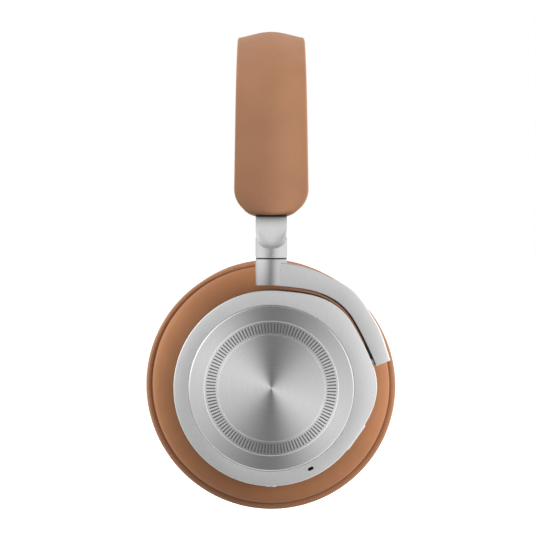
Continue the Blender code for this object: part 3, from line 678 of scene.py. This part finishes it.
def make_tilt_pivot(side, sign, mats):
    """The black bush in the cup, and the yoke's pin with a collar in the gap between them."""
    line = spoke(TILT_ANGLE, TILT_LIP, sign, 34.7, 40.8)
    steps = [(0, 1.5), (0, 2.6), (0.9, 2.6), (0.9, 2.2), (5.5, 2.2), (5.5, 1.5)]
    bush = bar(*line, in_millimetres(steps), 40)
    bush = piece(f"pivot_bush_{side}", bush, [mats["black"]], sign)
    bore(bush, line, 1.45 * MM, -MM, 8 * MM)
    attach(bush, f"cup_{side}", "black_plastic", f"tilt_bush_{side}")
    line = spoke(TILT_ANGLE, TILT_LIP, sign, 33.2, 45.8)
    steps = [(0, 1.7), (0.3, 2.0), (0.9, 2.0), (0.9, 1.2), (7.1, 1.2), (7.1, 1.5), (7.2, 1.6)]
    steps += [(7.75, 1.6), (7.85, 1.5), (7.85, 1.2), (12.5, 1.2), (12.6, 1.1)]
    pin = bar(*line, in_millimetres(steps), 32)
    pin = piece(f"pivot_pin_{side}", pin, [mats["steel"]], sign)
    attach(pin, f"yoke_{side}", "steel", f"tilt_pin_{side}")


def make_key(name, node_name, body, angle, half, lips, sign, mats):
    """A key that follows the cup's outline, with softened edges."""
    outline = rounded_box(half, *lips, 1.1 * MM, 6)
    centre = sum((Vector(point) for point in outline), Vector((0, 0))) / len(outline)
    loops = []
    for shrink, inward in ((1.0, None), (1.0, 0.25), (0.985, 0.1), (0.94, 0.0)):
        loop = []
        for point in outline:
            across, lip = centre + (Vector(point) - centre) * shrink
            place = angle + degrees(across / CUP_RADIUS)
            if inward is None:
                loop.append(polar(angle, 35.4 * MM, lip, sign, across))
            else:
                loop.append(polar(place, housing_radius(place) + KEY_PROUD - inward * MM, lip, sign))
        loops.append(loop)
    key = piece(name, loft(loops), [mats["blasted"]], sign, 40)
    attach(key, body, "aluminium", node_name)


def make_socket(side, sign, mats):
    """The headphone jack in the left cup, or the charging port in the right one."""
    if side == "left":
        line = spoke(SOCKET_ANGLE, SOCKET_LIP, sign, 27.9, 38.95)
        jack = bar(*line, capped(11.05 * MM, 2.15 * MM, 0.2 * MM), 48)
        jack = piece("jack_socket", jack, [mats["steel"]], sign)
        bore(jack, line, 1.75 * MM, 0.8 * MM, 12 * MM, 48)
        attach(jack, "cup_left", "steel", "audio_jack_left")
        return
    outer, inner = slot_outline(4.45 * MM, 1.45 * MM), slot_outline(4.15 * MM, 1.15 * MM)
    tongue = in_millimetres(rounded_box(3.3, -0.32, 0.32, 0.2, 3))
    tongue = [tongue[i * len(tongue) // len(inner)] for i in range(len(inner))]
    floor, mouth = 31.3 * MM, 38.4 * MM
    rows = ((outer, 30.5 * MM), (outer, mouth), (inner, mouth), (inner, floor), (tongue, floor))
    loops = []
    for outline, reach in (*rows, (tongue, 37.2 * MM)):
        loops.append([polar(SOCKET_ANGLE, reach, b + SOCKET_LIP, sign, a) for a, b in outline])
    port = piece("charging_port", loft(loops), [mats["steel"]], sign)
    attach(port, "cup_right", "steel", "usb_port_right")


def make_mic_mesh(side, sign, mats):
    outline, lips = slot_outline(1.9 * MM, 0.95 * MM), (2.65 * MM, 3.25 * MM)
    bm = loft(stood(outline, MIC_ANGLE, MIC_RADIUS - 0.6 * MM, lips, sign))
    mesh = piece(f"mic_cloth_{side}", bm, [mats["cloth"]], sign)
    attach(mesh, f"cup_{side}", "black_mesh", f"mic_mesh_{side}")


def make_driver_cloth(side, sign, mats):
    """The cloth over the driver, stretched flat with a slight hollow in the middle."""
    edge, core, steps, segments = 26.5 * MM, 0.3 * MM, 14, 96
    rows = [(core, -22.2 * MM), (edge, -22.25 * MM)]
    for step in range(steps):
        radius = edge * (1 - step / steps) + core * (step / steps)
        hollow = 0.25 * MM * (1 - (radius / edge) ** 2)
        rows.append((radius, -22.75 * MM + hollow))
    loops = []
    for radius, lip in rows:
        loops.append([polar(360 * i / segments, radius, lip, sign) for i in range(segments)])
    cloth = piece(f"driver_cloth_{side}", loft(loops), [mats["cloth"]], sign)
    attach(cloth, f"cup_{side}", "black_mesh", f"ear_mesh_{side}")


# ---------------- ear cushion


def ring_place(point, sign):
    """A point's distance from the cup's axis, and its lip."""
    return hypot(point.x, point.z), point.y * sign


def outward(point):
    return Vector((point.x, 0, point.z)).normalized()


def fade(distance, width):
    """Falls away smoothly from 1, and is nearly nothing at twice the width."""
    return exp(-((distance / width) ** 2))


def inflate(obj, pinned, pressure, frames, growth, limit):
    """Blows a closed skin up as cloth, holding the pinned vertices, and keeps every move small."""
    start = [vert.co.copy() for vert in obj.data.vertices]
    group = obj.vertex_groups.new(name="pinned")
    group.add(pinned, 1.0, "REPLACE")
    cloth = obj.modifiers.new("Cloth", "CLOTH")
    settings = cloth.settings
    settings.use_pressure = True
    settings.uniform_pressure_force = pressure
    settings.vertex_group_mass = "pinned"
    settings.shrink_min = -growth
    settings.effector_weights.gravity = 0
    settings.tension_stiffness = settings.compression_stiffness = 8
    settings.bending_stiffness = 1.5
    cloth.point_cache.frame_end = frames
    scene = bpy.context.scene
    for step in range(1, frames + 1):
        scene.frame_set(step)
    graph = bpy.context.evaluated_depsgraph_get()
    moved = [vert.co.copy() for vert in obj.evaluated_get(graph).data.vertices]
    obj.modifiers.clear()
    obj.vertex_groups.clear()
    scene.frame_set(1)
    for vert, old, new in zip(obj.data.vertices, start, moved):
        move = new - old
        if move.length > 0:
            move *= limit * math.tanh(move.length / limit) / move.length
        vert.co = old + move


def make_ear_cushions(mats):
    """One cushion is shaped and blown up about its own centre, and the other is its mirror."""
    corners = [
        (35.6, -12.6), (35.4, -20.5), (34.0, -21.4), (30.0, -23.9), (26.2, -24.4), (24.9, -27.0),
        (24.7, -31.5), (25.9, -36.2), (28.8, -39.3), (32.5, -40.4), (36.5, -40.6), (40.5, -40.2),
        (45.0, -37.7), (48.2, -33.6), (49.5, -29.5), (49.6, -26.2), (49.0, -23.6), (47.8, -21.9),
        (46.5, -19.0), (44.2, -15.9), (41.4, -13.8), (38.8, -12.7), (37.4, -12.2),
    ]
    section = smooth_section(in_millimetres(corners), 64)
    sign = SIDES["left"]
    pad = piece("pad_left", ring(lambda angle: section, sign, 240), [mats["pad"]], sharp=60)
    held = [vert.index for vert in pad.data.vertices if is_held(vert.co, sign)]
    flat = [vert.co.copy() for vert in pad.data.vertices]
    inflate(pad, held, 3.0, 14, 0.02, 1.2 * MM)
    even_out(pad, flat, len(section))
    refine_seam(pad, sign)
    shape_seams(pad, sign)
    shape_rim(pad, sign)
    subdivide(pad)
    pad.location = cup_origin(sign)
    pad.data.shade_smooth()
    mirrored = pad.data.copy()
    mirrored.name = "pad_right"
    for vert in mirrored.vertices:
        vert.co.y = -vert.co.y
    mirrored.flip_normals()
    twin = add_object("pad_right", mirrored, cup_origin(SIDES["right"]))
    for side, obj in (("left", pad), ("right", twin)):
        attach(obj, f"cup_{side}", "pad_leather", f"ear_cushion_{side}")


def even_out(pad, flat, count):
    """Gives every section the ring's mean swelling, and a little of its own unevenness."""
    own_share = 0.15
    sections = len(flat) // count
    for place in range(count):
        swells = []
        for index in range(place, len(flat), count):
            move = pad.data.vertices[index].co - flat[index]
            swells.append((move.dot(outward(flat[index])), move.y))
        mean = [sum(values) / sections for values in zip(*swells)]
        for index in range(place, len(flat), count):
            even = flat[index] + outward(flat[index]) * mean[0] + Vector((0, mean[1], 0))
            pad.data.vertices[index].co = even.lerp(pad.data.vertices[index].co, own_share)


def is_held(point, sign):
    """True near the cushion's sewn lines and where its leather is clamped to the cup."""
    radius, lip = ring_place(point, sign)
    if radius < 38.4 * MM and lip > -24.5 * MM:
        return True
    return any(dist((radius, lip), seam) < 0.8 * MM for seam in (BACK_SEAM, FRONT_SEAM))


def refine_seam(pad, sign):
    """Cuts the faces beside the back seam into narrow strips, so that its groove can be sharp."""
    bm = bmesh.new()
    bm.from_mesh(pad.data)
    cut = []
    for edge in bm.edges:
        ends = [ring_place(vert.co, sign) for vert in edge.verts]
        near = all(dist(end, BACK_SEAM) < 2.6 * MM for end in ends)
        if near and dist(*ends) > 0.5 * MM:
            cut.append(edge)
    bmesh.ops.subdivide_edges(bm, edges=cut, cuts=4, use_grid_fill=True)
    bm.to_mesh(pad.data)
    bm.free()


def shape_seams(pad, sign):
    """Sinks the back seam and the front inner seam, and puckers the leather beside them."""
    for vert in pad.data.vertices:
        place, out = ring_place(vert.co, sign), outward(vert.co)
        away = dist(place, BACK_SEAM)
        sink = 0.9 * MM * fade(away, 0.42 * MM)
        pucker = 0.08 * MM * noise.noise(vert.co * 220) * fade(away, PUCKER_WIDTH)
        vert.co -= (out * 0.75 + Vector((0, sign * 0.65, 0))) * (sink + pucker)
        dent = 0.5 * MM * fade(dist(place, FRONT_SEAM), 0.7 * MM)
        vert.co += (out * 0.8 + Vector((0, sign * 0.6, 0))) * dent


def shape_rim(pad, sign):
    """Draws the rim in towards the top of the cushion, and lets the back seam out at the top left."""
    for vert in pad.data.vertices:
        place = ring_place(vert.co, sign)
        angle = degrees(math.atan2(vert.co.z, vert.co.x))
        rim = min(1.0, max(0.0, (place[0] - 47.2 * MM) / (2.4 * MM)))
        let_out = 0.6 * MM * swell(angle, 125, 90) * fade(dist(place, BACK_SEAM), PUCKER_WIDTH)
        vert.co += outward(vert.co) * (let_out - 1.05 * MM * swell(angle, 65, 105) * rim)


# ---------------- headband


def band_length():
    length, angle = BAND_FLAT, 0.0
    for radius, end in BAND_ARCS:
        length += radius * radians(end - angle)
        angle = end
    return length


BAND_LENGTH = band_length()


def band_line(s):
    """The point (out, z) of the headband's outer line at a length s from the crown, and its normal."""
    out, z, angle, left = min(abs(s), BAND_FLAT), BAND_TOP, 0.0, max(0.0, abs(s) - BAND_FLAT)
    for radius, end in BAND_ARCS:
        turn = min(left / radius, radians(end) - angle)
        out += radius * (sin(angle + turn) - sin(angle))
        z += radius * (cos(angle + turn) - cos(angle))
        angle += turn
        left -= turn * radius
    side = -1 if s < 0 else 1
    return Vector((side * out, z)), Vector((side * sin(angle), cos(angle)))


def band_half_width(s):
    along = abs(s) / BAND_LENGTH
    half = BAND_HALF_CROWN + (BAND_HALF_END - BAND_HALF_CROWN) * along**2
    from_end = BAND_LENGTH - abs(s)
    if from_end < END_ALONG:
        half -= END_ACROSS * (1 - sqrt(1 - (1 - from_end / END_ALONG) ** 2))
    return half


def pocket_depth(s):
    return max(CAVITY_DEPTH, abs(band_line(s)[0].x) - POCKET_INNER_OUT)


def band_stations(spacing):
    """Lengths along the headband, bunched up at its round ends."""
    plain = BAND_LENGTH - END_ALONG
    steps = round(plain / spacing)
    half = [plain * i / steps for i in range(steps + 1)]
    half += [BAND_LENGTH - END_ALONG * (1 - sin(radians(a))) for a in range(6, 91, 6)]
    return [-s for s in reversed(half[1:])] + half


def end_roll(s, reach):
    """How far the leather turns in at the headband's very end."""
    from_end = BAND_LENGTH - abs(s)
    if from_end >= reach:
        return 0.0
    return reach * (1 - sqrt(max(0.0, 1 - (1 - from_end / reach) ** 2)))


def sweep_band(section, stations):
    loops = []
    for s in stations:
        point, normal = band_line(s)
        loop = []
        for x, depth in section(s):
            inner = point - depth * normal
            loop.append(Vector((x, inner.x, inner.y)))
        loops.append(loop)
    return loft(loops)


def cover_section(s):
    """The leather: domed in the middle, with softly rolled edges, and turned in below them."""
    half = band_half_width(s)
    roll = end_roll(s, 1.6 * MM)
    lip = pocket_depth(s) - GAP
    edge_radius, count = 0.9 * MM, 28
    top = []
    for i in range(count + 1):
        u = -1 + 2 * i / count
        dome = BAND_RISE * (1.6 * u**2 - 0.6 * u**4)
        top.append((u * (half - edge_radius), dome + roll))
    edge = []
    for angle in (25, 50, 75, 90):
        turn = radians(angle)
        depth = BAND_RISE + roll + edge_radius * (1 - cos(turn))
        edge.append((half - edge_radius * (1 - sin(turn)), depth))
    edge += [(half, (BAND_RISE + lip) / 2 + roll / 2), (half - 0.05 * MM, lip - 0.5 * MM)]
    inside = half - 1.5 * MM
    under = max(COVER_WALL, BAND_RISE + roll + MM)
    edge += [(half - 0.4 * MM, lip), (inside, lip), (inside, min(under, lip - 0.05 * MM))]
    return top + edge + [(-x, depth) for x, depth in reversed(edge)]


def cushion_section(s):
    """The padding under the leather, crowned towards the head."""
    share = min(1.0, abs(s) / BAND_LENGTH)
    half = band_half_width(s) + 0.3 * MM * (1 - share)
    roll = end_roll(s, 4.5 * MM)
    top = pocket_depth(s)
    bottom = CROWN_THICKNESS + (END_THICKNESS - CROWN_THICKNESS) * share - 0.5 * MM - 0.5 * roll
    count = 22
    points = []
    for i in range(count + 1):
        turn = pi * i / count
        across = math.copysign(abs(cos(turn)) ** 0.42, cos(turn))
        deep = sin(turn) ** 0.62
        points.append((across * (half - 0.25 * MM), top + (bottom - top) * deep))
    return [(half - 1.3 * MM, top - 0.05 * MM)] + points + [(1.3 * MM - half, top - 0.05 * MM)]


def make_headband(mats):
    cover = sweep_band(cover_section, band_stations(1.6 * MM))
    cover = piece("band_leather", cover, [mats["band"]], sharp=50)
    attach(cover, "headband", "leather", "headband_cover")
    cushion = sweep_band(cushion_section, band_stations(2.4 * MM))
    cushion = piece("band_padding", cushion, [mats["band"]], sharp=60)
    held = held_on_band(cushion)
    inflate(cushion, held, 2.0, 12, 0.02, 0.5 * MM)
    subdivide(cushion)
    attach(cushion, "headband", "leather", "headband_cushion")


def held_on_band(cushion):
    """The padding's vertices along its sewn edges and at its ends."""
    rows, sewn, end = len(cushion_section(0.0)), 3, BAND_END + 2.0 * MM
    held = []
    for vert in cushion.data.vertices:
        place = vert.index % rows
        if place < sewn or place >= rows - sewn or vert.co.z < end:
            held.append(vert.index)
    return held


def make_end_cap(side, sign, mats):
    """The black cap round the strap. Its lower edge shows under the leather and follows its curve."""
    end = band_line(BAND_LENGTH)[0].y - CUP_Z
    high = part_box(f"end_cap_{side}")[1].z - CUP_Z
    half = 6.4
    loops = []
    for drop, shrink in ((0.9, 0.96), (0.75, 1.0), (None, 1.0)):
        loop = []
        for x, y in rounded_box(half, -2.5, 2.7, 1.3, 8):
            rise = high if drop is None else end - drop * MM + 0.4 * MM * (x / half) ** 2
            loop.append(Vector((x * shrink * MM, sign * y * shrink * MM, rise)))
        loops.append(loop)
    cap = piece(f"band_cap_{side}", loft(loops), [mats["black"]], sign)
    opening = rounded_box(6.3, -1.0, 1.0, 0.4, 4)
    loops = []
    for z in (end - 2 * MM, high + MM):
        loops.append([Vector((x * MM, sign * y * MM, z)) for x, y in opening])
    combine(cap, loft(loops))
    attach(cap, "headband", "black_plastic", f"end_cap_{side}")


# ---------------- arm and yoke


def strap_edge(x):
    """Height of the U-shaped edge where the barrel is cut back to the strap."""
    flat, reach, low, rise = 1.2 * MM, 5.8 * MM, 54.85 * MM, 4.3 * MM
    u = min(1.0, max(0.0, (abs(x) - flat) / (reach - flat)))
    return low + rise * (1 - sqrt(1 - u**2))


def arm_rows(low, top):
    """Rows up the arm. Each gives (inset, height, depth) from a place x across it."""
    strap, fillet_deep, fillet_long = 0.8 * MM, 2.2 * MM, 4.4 * MM

    def level(height, inset=0.0, depth=HUB_RADIUS):
        return lambda x: (inset, height, depth)

    def above_edge(distance):
        share = 1 - min(1.0, distance / fillet_long)
        depth = strap + fillet_deep * (1 - sqrt(1 - share**2))
        return lambda x: (0.0, strap_edge(x) + distance, depth)

    rows = [level(low, 0.12 * MM), level(low + 0.12 * MM)]
    rows.append(lambda x: (0.0, strap_edge(x) - 0.1 * MM, HUB_RADIUS))
    rows.append(lambda x: (0.0, strap_edge(x), HUB_RADIUS - 0.1 * MM))
    distances = (0.02, 0.1, 0.25, 0.5, 0.8, 1.2, 1.7, 2.3, 3.0, 3.7, 4.4)
    rows += [above_edge(distance * MM) for distance in distances]
    rows += [level(height * MM, 0.0, strap) for height in (64.2, 66.0, 68.0, 72.0, 80.0)]
    return rows + [level(top - 0.4 * MM, 0.0, strap), level(top, 0.4 * MM, strap - 0.3 * MM)]


def make_arm(side, sign, mats):
    """Strap and barrel in one: a round bar, cut back to a flat strap above a U-shaped edge."""
    low, top = BARREL_LOW - CUP_Z - WASHER_REACH, STRAP_TOP - CUP_Z
    steps, barrel_rows = 44, 4
    turns = [pi * (i / steps - 0.5) for i in range(steps + 1)]
    loops = []
    for row in arm_rows(low, top):
        front, back = [], []
        for turn in turns:
            inset, height, depth = row(HUB_RADIUS * sin(turn))
            radius = HUB_RADIUS - inset
            x, out = radius * sin(turn), min(radius * cos(turn), depth)
            front.append(Vector((x, sign * out, height)))
            back.append(Vector((x, -sign * out, height)))
        loops.append(front + back[-2:0:-1])
    bm = loft(loops)
    bm.faces.ensure_lookup_table()
    for face in list(bm.faces)[barrel_rows * len(loops[0]) :]:
        face.material_index = 1
    arm = piece(f"arm_{side}", bm, [mats["barrel"], mats["brushed"]], sign, 28)
    line = Vector((0, 0, low)), Vector((0, 0, low + 3 * MM))
    bore(arm, line, 2.5 * MM, -MM, 3 * MM, sharp=28)
    attach(arm, f"arm_{side}", "aluminium", f"slider_arm_{side}")


def make_washer(side, sign, mats):
    low, high = (corner.z - CUP_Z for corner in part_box(f"swivel_washer_{side}"))
    inner, outer, segments = 2.7 * MM, 6.1 * MM, 96
    corners = rounded([(inner, low), (outer, low), (outer, high), (inner, high)], [0.1 * MM] * 4, 2)
    loops = []
    for i in range(segments):
        turn = 2 * pi * i / segments
        loops.append([Vector((r * cos(turn), r * sin(turn), z)) for r, z in corners])
    washer = piece(f"washer_{side}", loft(loops, closed=True), [mats["black"]], sign)
    attach(washer, f"arm_{side}", "black_plastic", f"swivel_washer_{side}")


def make_yoke(side, sign, mats):
    """The hub and its curved arm in one, bored for the swivel pin and the tilt pin."""
    line = Vector((0, 0, HUB_BOTTOM)), Vector((0, 0, HUB_TOP - CUP_Z + WASHER_REACH))
    length = (line[1] - line[0]).length
    hub = bar(*line, capped(length, HUB_RADIUS, 0.15 * MM), 128)
    yoke = piece(f"yoke_arm_{side}", hub, [mats["hub"], mats["blasted"]], sign)
    combine(yoke, yoke_arc(sign), "UNION", 25)
    bore(yoke, line, 3.9 * MM, -MM, length + MM, 64, 25)
    bore(yoke, spoke(TILT_ANGLE, TILT_LIP, sign, 38, 46.2), 1.5 * MM, 0, 8.2 * MM, sharp=25)
    attach(yoke, f"yoke_{side}", "aluminium", f"yoke_{side}")


def yoke_arc(sign):
    """The yoke's curved arm, with softened edges, a face that slopes outwards and a slanted end."""
    first, last = YOKE_ANGLES
    slant = 1.1  # degrees between the end's inner and outer corners
    slant_reach = 30  # degrees over which the slant grows towards the end
    steps = 76
    angles = [first + (last + 0.4 - first) * i / steps for i in range(steps + 1)]
    loops = []
    for angle, inset in [(angle, 0.0) for angle in angles] + [(last + 0.05, 0.05), (last, 0.15)]:
        inner = yoke_inner_radius(angle) + inset * MM
        outer = yoke_outer_radius(angle) - inset * MM
        low, high = YOKE_LIPS[0] + inset * MM, YOKE_LIPS[1] - inset * MM
        corners = [(inner, low), (outer, low), (outer, high - 0.45 * MM), (inner, high)]
        corners = rounded(corners, [0.4 * MM, 0.6 * MM, 0.7 * MM, 0.3 * MM], 4)
        near_end = max(0.0, 1 - (angle - last) / slant_reach)
        loop = []
        for reach, lip in corners:
            share = (reach - inner) / (outer - inner)
            loop.append(polar(angle + slant * share * near_end, reach, lip, sign))
        loops.append(loop)
    bm = loft(loops)
    for face in bm.faces:
        face.material_index = 1
    return bm


def make_yoke_lining(side, sign, mats):
    """The black strip inside the yoke, with a block beside the pivot that nearly fills the gap."""
    first, last = 84.0, YOKE_ANGLES[1] + 0.5
    block_start, block_end = 24.2, 17.8
    step = 0.2  # degrees over which the strip's height changes at the block
    back = 0.5 * MM  # the strip is sunk this far into the yoke
    angles = [first + (block_start + step - first) * i / 44 for i in range(45)]
    angles += [block_start + (block_end - block_start) * i / 6 for i in range(7)]
    angles += [block_end - step + (last - block_end + step) * i / 8 for i in range(9)]
    loops = []
    for angle in angles:
        edge = yoke_inner_radius(angle)
        proud, top = (0.1 + 0.6 * min(1.0, (first - angle) / 40)) * MM, 3.2 * MM
        if block_end <= angle <= block_start:
            proud, top = YOKE_GAP - 0.14 * MM, 4.6 * MM
        elif angle < block_end:
            proud = 0.35 * MM
        corners = [(edge - proud, -1.1 * MM), (edge + back, -1.3 * MM)]
        corners += [(edge + back, top), (edge - proud, top - 0.2 * MM)]
        loops.append([polar(angle, reach, lip, sign) for reach, lip in rounded(corners, [0.15 * MM] * 4, 2)])
    lining = piece(f"yoke_lining_{side}", loft(loops), [mats["black"]], sign)
    attach(lining, f"yoke_{side}", "black_plastic")


# ---------------- carried-over CAD nodes


def dress_cad_nodes(mats):
    """Gives every CAD node the look of its material slot."""
    looks = {"leather": "band", "pad_leather": "pad", "aluminium": "blasted", "spun_aluminium": "spun"}
    looks.update({"battery": "foil", "black_mesh": "cloth", "black_plastic": "black"})
    slots = {entry["node"]: entry["material_slot"] for entry in frame["record"]["subparts"]}
    for name, obj in frame["nodes"].items():
        for slot in obj.material_slots:
            slot.material = mats[looks.get(slots[name], slots[name])]


# ---------------- studio


def make_camera():
    data = bpy.data.cameras.new("camera")
    data.sensor_width = 36.0
    data.lens = 193.6
    data.shift_y = -0.0588
    data.clip_start, data.clip_end = 0.05, 60.0
    camera = add_object("camera", data, (-1.3 * MM, -1.2, CUP_Z + 59.5 * MM))
    camera.rotation_euler = (radians(90), 0, 0)
    bpy.context.scene.camera = camera


def area_light(name, place, target, width, height, power):
    data = bpy.data.lights.new(name, "AREA")
    data.shape = "RECTANGLE"
    data.size, data.size_y = width, height
    data.energy = power
    light = add_object(name, data, place)
    aim = Vector(target) - Vector(place)
    light.rotation_euler = aim.to_track_quat("-Z", "Y").to_euler()
    light.visible_glossy = False


def graded(tree, value, stops):
    """A brightness that follows (place, brightness) stops, where place runs from -1 to 1."""
    place = times(tree, plus(tree, value, 1.0), 0.5)
    return ramp(tree, place, [((at + 1) / 2, grey(brightness)) for at, brightness in stops])


def choose(tree, share, no, yes):
    """Gives no where share is 0, and yes where it is 1."""
    return node(tree, "Mix", {0: share, 2: no, 3: yes}, data_type="FLOAT").outputs[0]


def make_world():
    """White to the eye, soft on leather, and bright at the sides where metal reflects it."""
    world = bpy.data.worlds.new("studio")
    bpy.context.scene.world = world
    world.use_nodes = True
    tree = world.node_tree
    tree.nodes.clear()
    axes = axes_of(tree, "Generated")
    across, up, away = axes["X"], axes["Z"], axes["Y"]
    path = node(tree, "LightPath").outputs

    # what metal reflects: a dark band behind the camera, pale sides, and a paler rim behind the object
    sides = ((-1.0, 0.92), (-0.8, 0.88), (-0.5, 0.68), (-0.28, 0.38), (-0.12, 0.115), (0.03, 0.115))
    sides += ((0.2, 0.48), (0.4, 0.80), (0.7, 0.95), (1.0, 0.95))
    heights = ((-1.0, 0.45), (-0.25, 0.52), (0.0, 0.78), (0.25, 1.0), (0.5, 0.9), (0.8, 0.5), (1.0, 0.45))
    mirrored = times(tree, graded(tree, across, sides), graded(tree, up, heights))
    corner = times(tree, times(tree, across, up), -0.45)
    corner = maths(tree, "DIVIDE", corner, plus(tree, length_of(tree, across, up), 0.05))
    rim = graded(tree, away, ((-1.0, 0.0), (-0.4, 0.0), (-0.1, 1.0), (1.0, 1.0)))
    rim = times(tree, rim, graded(tree, up, ((-1.0, 0.55), (0.0, 0.44), (1.0, 0.28))))
    rim = times(tree, rim, graded(tree, across, ((-1.0, 1.0), (0.1, 1.0), (0.5, 0.75), (1.0, 0.7))))
    mirrored = maths(tree, "MAXIMUM", plus(tree, mirrored, corner), maths(tree, "MAXIMUM", rim, 0.08))
    direct = node(tree, "MapRange", {"Value": path["Diffuse Depth"], "To Min": 1.0, "To Max": 0.3})
    mirrored = times(tree, times(tree, mirrored, 1.83), direct.outputs["Result"])

    # what lights the leather
    sides = ((-1.0, 0.75), (0.0, 0.85), (1.0, 1.0))
    heights = ((-1.0, 0.10), (-0.2, 0.70), (0.3, 1.0), (0.7, 0.5), (1.0, 0.1))
    depths = ((-1.0, 0.52), (-0.7, 0.80), (-0.3, 0.98), (0.0, 1.1), (1.0, 0.8))
    ambient = times(tree, graded(tree, across, sides), graded(tree, up, heights))
    ambient = times(tree, times(tree, ambient, graded(tree, away, depths)), 1.5)

    lit = choose(tree, path["Is Glossy Ray"], ambient, mirrored)
    seen = choose(tree, path["Is Camera Ray"], lit, 1.0)
    light = node(tree, "Background", {"Color": (1, 1, 1, 1), "Strength": seen})
    output = node(tree, "OutputWorld")
    tree.links.new(light.outputs["Background"], output.inputs["Surface"])


def make_floor():
    tree, shader = new_material("floor_paper", 0.9)
    feed(shader, "Base Color", ramp(tree, noise_of(tree, 3.0), ((0.3, grey(0.90)), (0.7, grey(0.94)))))
    shader.inputs["Emission Color"].default_value = (1, 1, 1, 1)
    shader.inputs["Emission Strength"].default_value = 0.55
    bm = bmesh.new()
    bmesh.ops.create_grid(bm, x_segments=2, y_segments=2, size=25.0)
    mesh = bpy.data.meshes.new("floor")
    bm.to_mesh(mesh)
    bm.free()
    mesh.materials.append(bpy.data.materials[shader.label])
    floor = add_object("floor", mesh, (0, 0, CUP_Z - PAD_RADIUS - 0.07))
    floor.visible_glossy = False
    floor.visible_diffuse = False


def make_studio():
    bpy.context.scene.view_settings.view_transform = "Standard"
    make_camera()
    make_world()
    make_floor()
    centre = (0, 0, CUP_Z + 0.05)
    area_light("key_right", (1.3, -0.6, 0.25), centre, 0.8, 0.8, 15.5)
    area_light("key_left", (-1.2, 0.2, 0.55), centre, 0.8, 0.8, 14)
    area_light("back", (0.2, 1.3, 0.7), centre, 1.0, 0.8, 4)


def main():
    make_studio()
    mats = make_materials()
    dress_cad_nodes(mats)
    make_headband(mats)
    make_ear_cushions(mats)
    for side, sign in SIDES.items():
        for make in (
            make_end_cap, make_arm, make_washer, make_yoke, make_yoke_lining, make_housing, make_disc,
            make_shell, make_tilt_pivot, make_socket, make_mic_mesh, make_driver_cloth,
        ):
            make(side, sign, mats)
    button, power = (BUTTON_ANGLE, BUTTON_HALF, BUTTON_LIPS), (POWER_ANGLE, POWER_HALF, POWER_LIPS)
    make_key("mode_key", "mode_button_left", "mode_button", *button, SIDES["left"], mats)
    make_key("voice_key", "assistant_button_right", "assistant_button", *button, SIDES["right"], mats)
    make_key("power_key", "power_slider_right", "power_slider", *power, SIDES["right"], mats)


main()
